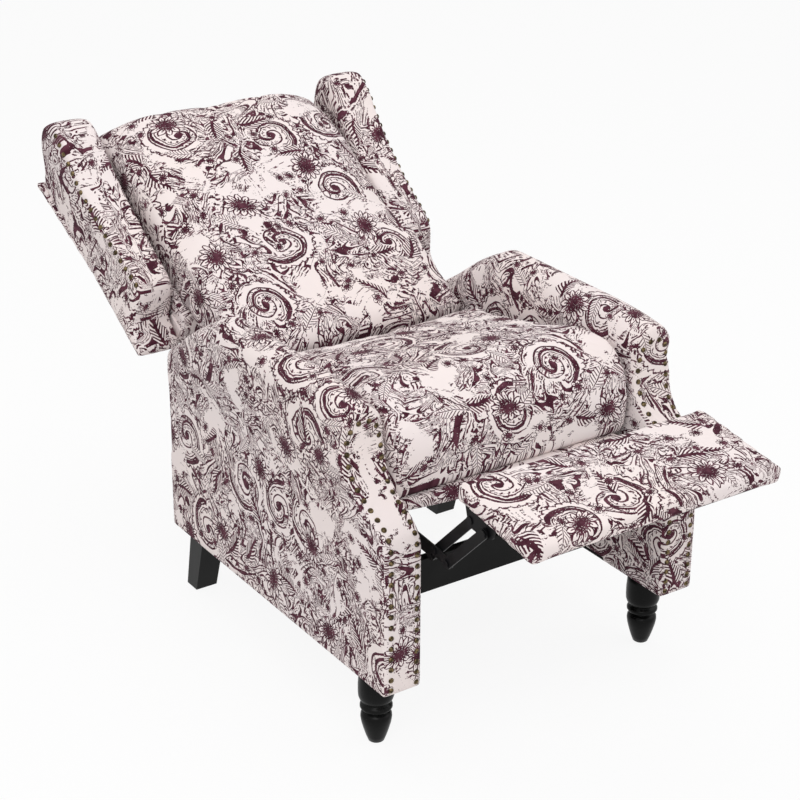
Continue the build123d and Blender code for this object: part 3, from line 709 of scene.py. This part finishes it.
# %% The wrap
def wrap(obj, guide, axis, end_share=0.72, shift=(0.0, 0.0), start_share=None):
    """Guide is a list of points across the axis, in metres in the shared frame."""
    mesh = obj.data
    axis = Vector(axis).normalized()
    line = np.array([tuple(p) for p in guide])
    a = np.array(axis)
    flat = line - np.outer(line @ a, a)
    starts, runs = flat[:-1], np.diff(flat, axis=0)
    lengths = np.linalg.norm(runs, axis=1)
    before = np.concatenate([[0], np.cumsum(lengths)[:-1]])
    co = points(obj)
    along = co @ a
    level = co - np.outer(along, a)
    best = np.full(len(co), np.inf)
    place = np.zeros(len(co))
    for p, run, length, base in zip(starts, runs, lengths, before):
        t = np.clip(((level - p) @ run) / (length * length), 0, 1)
        gap = np.linalg.norm(level - p - np.outer(t, run), axis=1)
        nearer = gap < best
        best[nearer] = gap[nearer]
        place[nearer] = base + t[nearer] * length
    u_axis = (flat[-1] - flat[0]) / max(np.linalg.norm(flat[-1] - flat[0]), 1e-9)
    v_axis = np.cross(a, u_axis)
    layer = mesh.uv_layers.get("cloth") or mesh.uv_layers.new(name="cloth")
    loops = np.empty(len(mesh.loops), np.int32)
    mesh.loops.foreach_get("vertex_index", loops)
    counts = np.empty(len(mesh.polygons), np.int32)
    mesh.polygons.foreach_get("loop_total", counts)
    normals = np.empty(len(counts) * 3)
    mesh.polygons.foreach_get("normal", normals)
    normals = normals.reshape(-1, 3)
    facing = normals @ a
    is_end = np.repeat((facing > end_share) | (facing < -(start_share or end_share)), counts)
    side = np.repeat(np.sign(normals @ a), counts)
    uv = np.empty((len(loops), 2))
    uv[:, 0] = np.where(is_end, (co @ u_axis)[loops] + 0.41 * side, along[loops])
    uv[:, 1] = np.where(is_end, (co @ v_axis)[loops] + 0.23, place[loops])
    uv += np.array(shift)
    layer.data.foreach_set("uv", uv.astype(np.float32).ravel())
    return obj


def dress(obj, body, *nodes, finish=PRINT, slot="printed_cover"):
    """Finish, body, and the solids that the piece stands for. The slot is not used."""
    obj.data.materials.clear()
    obj.data.materials.append(finish)
    shade_smooth(obj)
    if nodes:
        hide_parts(*nodes)
    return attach(obj, body)


print("cloth tools ready")

# %% [markdown]
# ## The seat cushion
#
# A deep foam block with a rounded nose that rolls over the front rail. It is drawn in
# the side view a little small, blown up, and then pressed flat against the arms and
# the deck, where the real one is squeezed.

# %% Seat cushion
DECK_TILT = math.tan(math.radians(8.0))


def deck(y):
    """How high the seat's deck lies, so far behind the front of the arms."""
    return 424.0 - DECK_TILT * (y - 100.0)


def press(obj, half_width, floor=None, ceiling=None):
    """Flattens a piece where its neighbours squeeze it."""
    co = points(obj)
    co[:, 0] = np.clip(co[:, 0], -half_width * MM, half_width * MM)
    if floor is not None:
        co[:, 2] = np.maximum(co[:, 2], floor(co))
    return set_points(obj, co)


seat_line = [
    (96, deck(96) + 1),
    (88, 446),
    (87, 494),
    (95, 535),
    (119, 568),
    (150, 584),
    (200, 588),
    (300, 570),
    (420, 544),
    (520, 520),
    (558, 506),
    (556, 482),
    (538, 440),
    (536, deck(536) + 2),
]
seat = block("seat_cushion_cover", seat_line, -248, 248, at)
net(seat, 7.0)
relax(seat, 4)
blow_up(seat, 12.0)


def seat_floor(co):
    """The deck's height under each point, in metres."""
    return (deck((co[:, 1] - FRONT) / MM) + 0.6) * MM


press(seat, 253.0, seat_floor)
co = points(seat)
co[:, 1] = np.minimum(co[:, 1], at(0, 566, 0).y)
set_points(seat, co)
finer(seat)
seat_guide = [at(0, y, z) for y, z in reversed(seat_line[1:11])]
wrap(seat, seat_guide, (1, 0, 0), shift=(0.05, 0.30))
dress(seat, "seat", "seat_cushion")
print("seat cushion", len(seat.data.polygons), "faces")

# %% [markdown]
# ## The back cushion
#
# One tall pad between the wings, fullest at shoulder height, with a soft roll at its
# top. Its foot is tucked behind the seat cushion.

# %% Back cushion
back_line = [
    (750, 58),
    (750, 150),
    (800, 154),
    (900, 157),
    (1010, 164),
    (1120, 171),
    (1230, 173),
    (1310, 166),
    (1372, 148),
    (1396, 114),
    (1392, 68),
    (1352, 56),
]
back = block("back_cushion_cover", back_line, -250, 250, on_back)
net(back, 7.0)
co = points(back)
height = past(co, on_back(0, 0, 0), OUT_OF_BACK)
front_share = np.clip((height - 60) / 90, 0, 1)[:, None]
across = np.abs(co[:, 0:1]) / (250 * MM)
run = past(co, on_back(0, 0, 0), UP_BACK)
above_arms = np.clip((run - 950) / 110, 0, 1)[:, None]
SIDE_FALL, TOP_ARCH = 38, 9
co -= front_share * above_arms * across**4 * SIDE_FALL * MM * OUT_OF_BACK
top_share = np.clip((run - 1300) / 80, 0, 1)[:, None]
co += top_share * (1 - across**4) * TOP_ARCH * MM * UP_BACK
set_points(back, co)
relax(back, 6)
blow_up(back, 9.0)
press(back, 255.0)
co = hold(points(back), on_back(0, 753, 0), UP_BACK)
co = hold(co, on_back(0, 0, 57), OUT_OF_BACK)
set_points(back, co)
finer(back)

# The foot is cut away behind, beside the straps, where the seat's steel plates pass.
NOTCH_X, NOTCH_TOP, NOTCH_DEPTH = 214.0, 858.0, 127.0
co = points(back)
run = (co - np.array(on_back(0, 0, 0))) @ UP_BACK
in_notch = (np.abs(co[:, 0]) > NOTCH_X * MM) & (run < NOTCH_TOP * MM)
set_points(back, hold(co, on_back(0, 0, NOTCH_DEPTH), OUT_OF_BACK, in_notch))
back_guide = [on_back(0, s, n) for s, n in [(1300, 56), *reversed(back_line[1:])]]
wrap(back, back_guide, (1, 0, 0), shift=(0.31, 0.03))
dress(back, "back", "back_cushion")
print("back cushion", len(back.data.polygons), "faces")

# %% [markdown]
# ## The footrest pad
#
# A thin board wrapped in wadding and cloth, with softened corners. The cloth is pulled
# round to the underside and stapled there, so the pad is flat below.

# %% Footrest pad
PAD_TILT = math.radians(8.5)
pad_low, pad_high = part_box("footrest_pad")
pad_middle = (pad_low + pad_high) / 2


def on_pad(x, y, z):
    """A point of the footrest by its own length and thickness, from its middle."""
    c, d = math.cos(PAD_TILT), math.sin(PAD_TILT)
    return pad_middle + Vector((x, y * c - z * d, y * d + z * c)) * MM


PAD_WIDTH, PAD_DEPTH, PAD_THICKNESS, PAD_CORNER = 508, 201, 31, 9


def pad_net():
    bm = bmesh.new()
    bmesh.ops.create_cube(bm, size=1)
    bmesh.ops.scale(bm, vec=(PAD_WIDTH * MM, PAD_DEPTH * MM, PAD_THICKNESS * MM), verts=bm.verts)
    upright = [e for e in bm.edges if abs(e.verts[0].co.z - e.verts[1].co.z) > 1 * MM]
    corner = PAD_CORNER * MM
    bmesh.ops.bevel(
        bm, geom=upright, offset=corner, segments=5, profile=0.5, affect="EDGES", material=-1
    )
    bmesh.ops.rotate(bm, verts=bm.verts, matrix=Matrix.Rotation(PAD_TILT, 3, "X"))
    bmesh.ops.translate(bm, verts=bm.verts, vec=on_pad(0, 6, 3.6))
    return finish_mesh(bm, "footrest_pad_cover")


pad = pad_net()
net(pad, 5.0)
relax(pad, 3)
blow_up(pad, 4.0, 3.0)
PAD_UNDERSIDE = -12.8
pad_up = np.array(on_pad(0, 0, 1) - on_pad(0, 0, 0)) / MM
set_points(pad, hold(points(pad), on_pad(0, 0, PAD_UNDERSIDE), pad_up))
finer(pad)
pad_front = ((-60, -14), (-90, -12), (-95, 0), (-90, 13))
pad_section = [*pad_front, *((-y, z) for y, z in reversed(pad_front))]
pad_guide = [on_pad(0, y, z) for y, z in pad_section]
wrap(pad, pad_guide, (1, 0, 0), shift=(0.77, 0.52))
dress(pad, "footrest", "footrest_pad")
print("footrest pad", len(pad.data.polygons), "faces")

# %% [markdown]
# ## The arms
#
# Each arm is a plywood frame wrapped in thin wadding, so it is firm, with soft edges.
# The flat slab and the roll on top are drawn as two solids, joined by the net, and
# relaxed until their corners have the roundness of stretched cloth. On the way, the
# slab's top flares out to meet the roll, the roll's nose dips a little, and its
# sloping rear end swells.

# %% Arms
ROLL_R, ROLL_X, ROLL_Z = 42.0, 301.5, 584.0
ROLL_START, KNEE_Y, ARM_REAR = 103, 511, 721
ROLL_LEAN, FLARE, NOSE_DROP, REAR_SWELL = 0.10, 15, 10, 7
front_line = [
    (-2, 138),
    (-2, 405),
    (4, 424),
    (23, 441),
    (69, 469),
    (89, 488),
    (100, 510),
    (104, 540),
    (102, ROLL_Z),
]
SLOPE = math.atan2(122.0, 198.0)


def roll_tube(bm, side):
    """The roll: a circle pulled straight back, then down along the arm's slope."""
    made = bmesh.ops.create_circle(bm, cap_ends=True, segments=40, radius=ROLL_R * MM)
    verts = made["verts"]
    bmesh.ops.rotate(bm, verts=verts, matrix=Matrix.Rotation(math.radians(90), 3, "X"))
    bmesh.ops.translate(bm, verts=verts, vec=at(side * ROLL_X, ROLL_START, ROLL_Z))
    face = verts[0].link_faces[0]
    for v in verts:
        v.co.y -= (v.co.z - ROLL_Z * MM) * ROLL_LEAN
    made = bmesh.ops.extrude_face_region(bm, geom=[face])
    ring = [g for g in made["geom"] if isinstance(g, bmesh.types.BMVert)]
    for v in ring:
        high = (v.co.z - ROLL_Z * MM) / MM
        v.co.y = at(0, KNEE_Y + high * math.tan(SLOPE / 2), 0).y
    cap = [g for g in made["geom"] if isinstance(g, bmesh.types.BMFace)]
    made = bmesh.ops.extrude_face_region(bm, geom=cap)
    ring = [g for g in made["geom"] if isinstance(g, bmesh.types.BMVert)]
    for v in ring:
        run = at(0, ARM_REAR, 0).y - v.co.y
        v.co.y += run
        v.co.z -= run * math.tan(SLOPE)


def arm_net(side):
    """An arm's shape, before its cloth is mapped."""
    name = "left_arm_upholstery" if side > 0 else "right_arm_upholstery"
    knee = (KNEE_Y, ROLL_Z)
    rear_z = ROLL_Z - (ARM_REAR - KNEE_Y) * math.tan(SLOPE)
    line = front_line + [knee, (722, rear_z), (730, 138)]
    low, high = sorted((side * 255, side * 330))
    slab = block(name, line, low, high, at)
    bm = bmesh.new()
    bm.from_mesh(slab.data)
    roll_tube(bm, side)
    bmesh.ops.recalc_face_normals(bm, faces=bm.faces)
    bm.to_mesh(slab.data)
    bm.free()
    net(slab, 6.0)
    co = points(slab)
    flare = (328 + FLARE * soft_step((co[:, 2] / MM - 435) / 85)) * MM
    outside = (np.abs(co[:, 0]) > 322 * MM) & (co[:, 2] < ROLL_Z * MM)
    co[outside, 0] = side * np.maximum(np.abs(co[outside, 0]), flare[outside])
    rear = soft_step((co[:, 1] - at(0, 590, 0).y) / (125 * MM))
    over = np.maximum(np.abs(co[:, 0]) - 329 * MM, 0)
    co[:, 0] -= side * over * rear
    nose = np.clip((at(0, 250, 0).y - co[:, 1]) / (145 * MM), 0, 1)
    above = np.clip((co[:, 2] / MM - 560) / 40, 0, 1)
    co[:, 2] -= NOSE_DROP * MM * nose * nose * above
    behind = np.clip((co[:, 1] - at(0, 505, 0).y) / (190 * MM), 0, 1)
    slope_z = ROLL_Z - np.maximum((co[:, 1] - at(0, KNEE_Y, 0).y) / MM, 0) * math.tan(SLOPE)
    upper = np.clip((co[:, 2] / MM - slope_z) / 30, 0, 1)
    co[:, 2] += REAR_SWELL * MM * np.sin(math.pi * behind) ** 2 * upper
    set_points(slab, co)
    relax(slab, 6)
    roll_end = at(0, 150, 540)
    relax(slab, 12, lambda p: p.y < roll_end.y and p.z > roll_end.z)
    return slab


def arm_wrap(arm, side):
    """Cloth runs up the outside, over the roll and down the inside of an arm."""
    guide = [at(side * 328, 0, 143), at(side * 328, 0, 540)]
    for i in range(13):
        a = math.radians(-50 + i * 20)
        guide.append(at(side * (ROLL_X + 43 * math.cos(a)), 0, ROLL_Z + 43 * math.sin(a)))
    guide += [at(side * 256, 0, 560), at(side * 256, 0, 143)]
    return wrap(arm, guide, (0, 1, 0), 0.85, shift=(0.13 * side, 0.41), start_share=0.40)


arms = {}
for side, word in ((1, "left"), (-1, "right")):
    arm = arm_net(side)
    arm_wrap(arm, side)
    dress(arm, "base", f"{word}_arm_cover", f"{word}_arm_facing")
    arms[side] = arm
    print(arm.name, len(arm.data.polygons), "faces")

# %% [markdown]
# ## Black lining inside the arms
#
# The print is wrapped only a hand's width round the front of each arm. Further in,
# under the seat, the inner side is covered with plain black lining.


# %% Lining
def arm_lining(side, word):
    """A thin sheet over the inner side of an arm."""
    thickness, length, height = 1.6, 540, 236
    front, foot = 157, 143
    bm = bmesh.new()
    bmesh.ops.create_cube(bm, size=1)
    bmesh.ops.scale(bm, vec=(thickness * MM, length * MM, height * MM), verts=bm.verts)
    middle = at(side * 256.4, front + length / 2, foot + height / 2)
    bmesh.ops.translate(bm, verts=bm.verts, vec=middle)
    lining = finish_mesh(bm, f"{word}_arm_lining")
    return dress(lining, "base", finish=ELASTIC, slot="elastic_webbing")


for side, word in ((1, "left"), (-1, "right")):
    arm_lining(side, word)
print("arms lined")

# %% [markdown]
# ## The wings and the back's outside
#
# A wing is a board with a thick rolled front edge. Its front swells out, runs down in
# a shallow curve and ends in a round lobe above the arm. Both wings lean outwards a
# little towards the top, in front more than behind. Below the lobe a wing is only a
# thin strip beside the cushion, and its cloth gets its own place on the map.

# %% Wings
wing_line = [
    (923, -4),
    (924, 16),
    (980, 29),
    (986, 58),
    (994, 92),
    (1013, 107),
    (1060, 109),
    (1122, 112),
    (1181, 120),
    (1243, 131),
    (1298, 149),
    (1345, 170),
    (1374, 172),
    (1398, 158),
    (1415, 129),
    (1405, 88),
    (1389, 50),
    (1376, 14),
    (1368, -3),
]


REAR_LEAN, FRONT_LEAN = 0.020, math.tan(math.radians(3.7))


def wing_net(side):
    """A wing's shape, before its cloth is mapped."""
    name = "left_wing_upholstery" if side > 0 else "right_wing_upholstery"
    low, high = sorted((side * 256, side * 330))
    wing = block(name, wing_line, low, high, on_back)
    net(wing, 6.0)
    co = points(wing)
    c, d = math.cos(BACK_ANGLE), math.sin(BACK_ANGLE)
    s = ((co[:, 1] - FRONT) * c + co[:, 2] * d) / MM
    depth = (co[:, 2] * c - (co[:, 1] - FRONT) * d) / MM
    share = (np.abs(co[:, 0]) / MM - 256) / 74
    rear_x = 347 + (1060 - s) * REAR_LEAN
    front_x = 330 + (s - 1003) * FRONT_LEAN
    outer = rear_x + (front_x - rear_x) * np.clip(depth / 100, 0, 1)
    inner = 255 + np.clip((s - 1150) / 246, 0, 1) * 8
    co[:, 0] = side * (inner + (outer - inner) * share) * MM
    set_points(wing, co)
    relax(wing, 14)
    top = on_back(0, 1330, 35)
    upward, outward = Vector(UP_BACK), Vector(OUT_OF_BACK)
    relax(wing, 16, lambda p: (p - top).dot(upward) > 0 and (p - top).dot(outward) > 0)
    return wing


def wing_wrap(wing, side):
    """Cloth runs from the cushion's side over the front edge and round behind."""
    guide = [on_back(side * 256, 0, 10), on_back(side * 258, 0, 110), on_back(side * 270, 0, 135)]
    guide += [on_back(side * 300, 0, 145), on_back(side * 330, 0, 135), on_back(side * 345, 0, 110)]
    guide += [on_back(side * 345, 0, 10), on_back(side * 344, 0, -4), on_back(side * 256, 0, -4)]
    axis = on_back(0, 1, 0) - on_back(0, 0, 0)
    wrap(wing, guide, axis, 0.80, shift=(0.2 * side, 0.63))
    foot = np.array(on_back(0, 0, 60)) @ OUT_OF_BACK
    co = points(wing)
    uv = np.empty(len(wing.data.loops) * 2)
    wing.data.uv_layers["cloth"].data.foreach_get("uv", uv)
    uv = uv.reshape(-1, 2)
    outward = Vector(OUT_OF_BACK)
    for face in wing.data.polygons:
        if face.center @ outward < foot and face.normal @ outward > 0.6:
            for i in face.loop_indices:
                uv[i, 1] = abs(co[wing.data.loops[i].vertex_index, 0]) + 0.9
    wing.data.uv_layers["cloth"].data.foreach_set("uv", uv.astype(np.float32).ravel())
    return wing


wings = {}
for side, word in ((1, "left"), (-1, "right")):
    wing = wing_net(side)
    wing_wrap(wing, side)
    dress(wing, "back", f"{word}_wing")
    wings[side] = wing
    print(wing.name, len(wing.data.polygons), "faces")


# %% [markdown]
# ## The back's outside and the seat's edge
#
# One flat panel closes the back. It is the solid's own shape with its edges softened by
# cloth, a little narrower at the top, where its corners are rounded off. The rails of
# the back and the band under the seat cushion are thin boards with cloth round them.


# %% Outside back panel and the band under the seat
def panel_cover():
    panel_foot, panel_run = 930, 470
    proud, taper, corner_drop = 9, 12, 16
    source = frame["nodes"]["back_panel"]
    bm = bmesh.new()
    bm.from_mesh(source.data)
    bmesh.ops.remove_doubles(bm, verts=bm.verts, dist=1e-5)
    panel = finish_mesh(bm, "back_panel_cover")
    net(panel, 3.0)
    relax(panel, 2)
    co = points(panel)
    climb = past(co, on_back(0, panel_foot, 0), UP_BACK) / panel_run
    co[:, 0] *= 1 - (taper * climb - proud) / 330
    corner = np.clip((np.abs(co[:, 0]) / MM - 256) / 74, 0, 1)
    top = np.clip(past(co, on_back(0, 1340, 0), UP_BACK) / 60, 0, 1)
    co -= np.outer(corner_drop * MM * corner * corner * top, UP_BACK)
    set_points(panel, co)
    guide = [on_back(0, panel_foot, 0), on_back(0, panel_foot + panel_run, 0)]
    wrap(panel, guide, (1, 0, 0), 0.8, (0.5, 0.9))
    dress(panel, "back", "back_panel")
    return panel


def rail_cover(name, line, half_width):
    """Cloth drawn round a rail of the back, between the wings."""
    made = block(name, line, -half_width, half_width, on_back)
    net(made, 5.0)
    relax(made, 3)
    guide = [on_back(0, s, n) for s, n in line[1:] + line[:1]]
    wrap(made, guide, (1, 0, 0), shift=(0.24, 0.81))
    dress(made, "back")
    return made


lower_line = [(934, 8), (934, 34), (950, 56), (1060, 66), (1068, 8)]
top_line = [(1328, 8), (1328, 54), (1378, 56), (1393, 42), (1396, 8)]
rail_cover("back_lower_cover", lower_line, 252)
rail_cover("back_top_cover", top_line, 264)
panel_cover()


def front_band():
    """The covered rail under the cushion's nose. Its cloth hangs through in the middle."""
    half_width, sag = 227, 12
    line = [(91, 414), (90, 426), (97, 431), (122, 427), (122, 411), (97, 410)]
    made = block("seat_front_band_cover", line, -half_width, half_width, at)
    net(made, 4.0)
    relax(made, 3)
    co = points(made)
    low = np.clip((424 - co[:, 2] / MM) / 10, 0, 1)
    co[:, 2] -= sag * MM * low * (1 - (co[:, 0] / (half_width * MM)) ** 2)
    set_points(made, co)
    guide = [at(0, y, z) for y, z in ((122, 411), (97, 410), (91, 414), (90, 426), (122, 427))]
    wrap(made, guide, (1, 0, 0), shift=(0.9, 0.1))
    dress(made, "seat", "seat_front_band", "seat_front_rail")
    return made


front_band()


def side_rail(side, word):
    """The seat frame's side rail, shallow in front and of full depth where it carries."""
    top, shallow, deep = 2.2, 16, 56
    line = [(123, deck(123) - shallow), (123, deck(123) - top), (530, deck(530) - top)]
    line += [(530, deck(530) - deep), (300, deck(300) - deep), (240, deck(240) - shallow)]
    low, high = sorted((side * 198, side * 219.9))
    made = block(f"{word}_seat_rail_board", line, low, high, at)
    dress(made, "seat", f"{word}_seat_rail", finish=LACQUER, slot="frame_wood")
    made.data.polygons.foreach_set("use_smooth", [False] * len(made.data.polygons))


for side, word in ((1, "left"), (-1, "right")):
    side_rail(side, word)
print("panel and band ready")

# %% [markdown]
# ## Decorative nails
#
# Domed nails in antique brass follow the edges of each arm's front and the front edge
# of each wing. A path is laid along the edge, divided evenly, and each nail is set on
# the cloth where the path touches it, standing square to the surface.


# %% Nail heads
def resample(path, count):
    """Evenly spaced places along a path."""
    line = np.array([tuple(p) for p in path])
    lengths = np.concatenate([[0], np.cumsum(np.linalg.norm(np.diff(line, axis=0), axis=1))])
    places = np.linspace(0, lengths[-1], count)
    return [Vector([np.interp(t, lengths, line[:, i]) for i in range(3)]) for t in places]


def nail_row(name, path, pitch, target, body, radius=5.0):
    """One piece with all the nails of an edge, each a flattened dome."""
    flatness, cut = 0.62, -0.2
    total = sum((b - a).length for a, b in zip(path, path[1:]))
    count = round(total / (pitch * MM)) + 1
    corners = [v.co for v in target.data.vertices]
    tree = BVHTree.FromPolygons(corners, [p.vertices for p in target.data.polygons])
    bm = bmesh.new()
    for spot in resample(path, count):
        place, normal, _, _ = tree.find_nearest(spot)
        made = bmesh.ops.create_uvsphere(bm, u_segments=10, v_segments=6, radius=radius * MM)
        verts = made["verts"]
        below = [v for v in verts if v.co.z < cut * radius * MM]
        bmesh.ops.delete(bm, geom=below, context="VERTS")
        verts = [v for v in verts if v.is_valid]
        bmesh.ops.scale(bm, vec=(1, 1, flatness), verts=verts)
        turn = normal.to_track_quat("Z", "Y").to_matrix()
        bmesh.ops.rotate(bm, verts=verts, matrix=turn)
        bmesh.ops.translate(bm, verts=verts, vec=place)
    made = finish_mesh(bm, name)
    dress(made, body, finish=BRASS, slot="pin_steel")
    print(name, count, "nails")
    return made


def face_y(z):
    """How far back the arm's front lies at a height."""
    ys, zs = zip(*front_line)
    return float(np.interp(z, zs, ys))


def front_path(side):
    """Up the arm's outer edge, over the roll, and down its inner edge."""
    outer = [(317 + 14 * min(max((z - 440) / 80, 0), 1), z) for z in (150, *range(260, 545, 12))]
    over = []
    for a in range(-10, 196, 12):
        turn = math.radians(a)
        over.append((300.5 + 31 * math.cos(turn), 556 + 34 * math.sin(turn)))
    inner = [(267, z) for z in (*range(540, 260, -12), 150)]
    return [at(side * x, face_y(z) - 2, z) for x, z in outer + over + inner]


ARM_NAIL_PITCH, WING_NAIL_PITCH = 19.7, 20.5
wing_edge = [
    (350, 1357, 160),
    (348, 1298, 143),
    (345, 1243, 124),
    (339, 1181, 114),
    (336, 1122, 106),
    (332, 1014, 102),
]
for side, word in ((1, "left"), (-1, "right")):
    nail_row(f"{word}_arm_nails", front_path(side), ARM_NAIL_PITCH, arms[side], "base")
    wing_path = [on_back(side * x, s, n) for x, s, n in wing_edge]
    nail_row(f"{word}_wing_nails", wing_path, WING_NAIL_PITCH, wings[side], "back")

# %% [markdown]
# ## The turned front legs
#
# A turned leg is a profile spun round its axis. The solid has a plain version; here
# the profile gets its full curves, and the spin closes on itself.

# %% Front legs
leg_profile = [
    (0, 0), (12, 0), (14, 1.5), (18, 12), (22, 25), (25.5, 38), (27, 48), (26.5, 54), (23, 58.5),
    (19.5, 60), (19, 62), (21, 63.5), (26, 65), (28, 68), (28, 71), (26, 74.5), (22, 76.5),
    (21.5, 78), (25, 80), (28.5, 84), (30.5, 90), (31, 98), (31, 112), (30, 126), (29, 139), (0, 139),
]


def turned_leg(side, word):
    bm = bmesh.new()
    verts = [bm.verts.new((r * MM, 0, z * MM)) for r, z in leg_profile]
    edges = [bm.edges.new(pair) for pair in zip(verts, verts[1:])]
    geom, middle, up = verts + edges, (0, 0, 0), (0, 0, 1)
    bmesh.ops.spin(bm, geom=geom, cent=middle, axis=up, angle=math.tau, steps=48, use_merge=True)
    bmesh.ops.remove_doubles(bm, verts=bm.verts, dist=1e-6)
    bmesh.ops.recalc_face_normals(bm, faces=bm.faces)
    low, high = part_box(f"{word}_front_leg")
    middle = (low + high) / 2
    bmesh.ops.translate(bm, verts=bm.verts, vec=(middle.x, middle.y, 0))
    leg = finish_mesh(bm, f"{word}_front_leg_turned")
    dress(leg, "base", f"{word}_front_leg", finish=LACQUER, slot="black_wood")
    return leg


for side, word in ((1, "left"), (-1, "right")):
    turned_leg(side, word)
print("legs turned")

# %% [markdown]
# ## Floor and surround
#
# The floor is pale and very large, so that its far edge hardly shows in any view. It
# looks nearly white to the camera but keeps the chair's soft shadow. The surround is
# white too, for the camera and for reflections, and dimmer as a light.

# %% Floor and surround
def floor_material():
    made, shader, start = material("pale_floor")
    plug(shader, Base_Color=(0.86, 0.86, 0.86, 1), Roughness=0.9)
    tree = made.node_tree
    seen = start.make("ShaderNodeLightPath", out="Is Camera Ray")
    mirrored = start.make("ShaderNodeLightPath", out="Is Glossy Ray")
    glow = start.make("ShaderNodeEmission", {"Color": (1, 1, 1, 1), "Strength": 1.0})
    keys = {0: seen.top(mirrored) * 0.90, 1: Wire(shader.outputs["BSDF"]), 2: glow}
    mixed = start.make("ShaderNodeMixShader", keys)
    tree.links.new(mixed.socket, tree.nodes["Material Output"].inputs["Surface"])
    return made


FLOOR_REACH, WORLD_LIGHT = 60, 0.62
bm = bmesh.new()
bmesh.ops.create_grid(bm, x_segments=8, y_segments=8, size=FLOOR_REACH)
floor = finish_mesh(bm, "floor")
floor.data.materials.append(floor_material())

world = bpy.data.worlds.new("studio")
bpy.context.scene.world = world
world.use_nodes = True
background = world.node_tree.nodes["Background"]
direct = Wire(world.node_tree.nodes.new("ShaderNodeLightPath").outputs["Is Camera Ray"])
mirrored = direct.make("ShaderNodeLightPath", out="Is Glossy Ray")
through = direct.make("ShaderNodeLightPath", out="Is Transmission Ray")
strength = WORLD_LIGHT + direct.top(mirrored).top(through) * (1 - WORLD_LIGHT)
world.node_tree.links.new(strength.socket, background.inputs["Strength"])
background.inputs["Color"].default_value = (1, 1, 1, 1)
print("floor and surround ready")


# %% [markdown]
# ## Lamps and camera
#
# Three large soft lamps give form without hard shadows. The camera stands where the
# photographer stood, above the arms and to the chair's right, with a long lens.


# %% Lamps and camera
CAMERA_AZIMUTH, CAMERA_ELEVATION, CAMERA_ROLL = -33.95, 24.6, 0.2
CAMERA_PLACE = Vector((-1.8506, -2.7681, 1.9361))
CAMERA_LENS, SENSOR = 90.0, 36.0
PHOTO_WIDTH = 800
CHAIR_MIDDLE = Vector((0, 0, 0.4))


def lamp(name, place, size, power):
    """A square soft lamp that looks at the middle of the chair."""
    light = bpy.data.lights.new(name, "AREA")
    light.shape, light.size, light.energy = "SQUARE", size, power
    made = bpy.data.objects.new(name, light)
    bpy.context.scene.collection.objects.link(made)
    made.location = place
    made.rotation_euler = (CHAIR_MIDDLE - Vector(place)).to_track_quat("-Z", "Y").to_euler()
    return made


lamp("key_lamp", (-2.2, -2.6, 3.2), 2.2, 58)
lamp("fill_lamp", (2.8, -2.0, 2.2), 2.6, 24)
lamp("top_lamp", (0, 0.8, 3.6), 2.6, 32)


def camera_turn():
    """The camera's three directions, as the columns of a matrix."""
    az, el, roll = (math.radians(a) for a in (CAMERA_AZIMUTH, CAMERA_ELEVATION, CAMERA_ROLL))
    back_dir = Vector((math.sin(az) * math.cos(el), -math.cos(az) * math.cos(el), math.sin(el)))
    right = (-back_dir).cross(Vector((0, 0, 1))).normalized()
    up = right.cross(-back_dir)
    c, d = math.cos(roll), math.sin(roll)
    return Matrix((c * right + d * up, c * up - d * right, back_dir)).transposed()


view = bpy.data.cameras.new("photo_view")
view.sensor_width, view.lens = SENSOR, CAMERA_LENS
view.shift_x = 1 / PHOTO_WIDTH
camera = bpy.data.objects.new("photo_view", view)
bpy.context.scene.collection.objects.link(camera)
camera.matrix_world = Matrix.Translation(CAMERA_PLACE) @ camera_turn().to_4x4()
bpy.context.scene.camera = camera
bpy.context.scene.view_settings.view_transform = "Standard"
print("camera at", [round(v, 3) for v in camera.location])
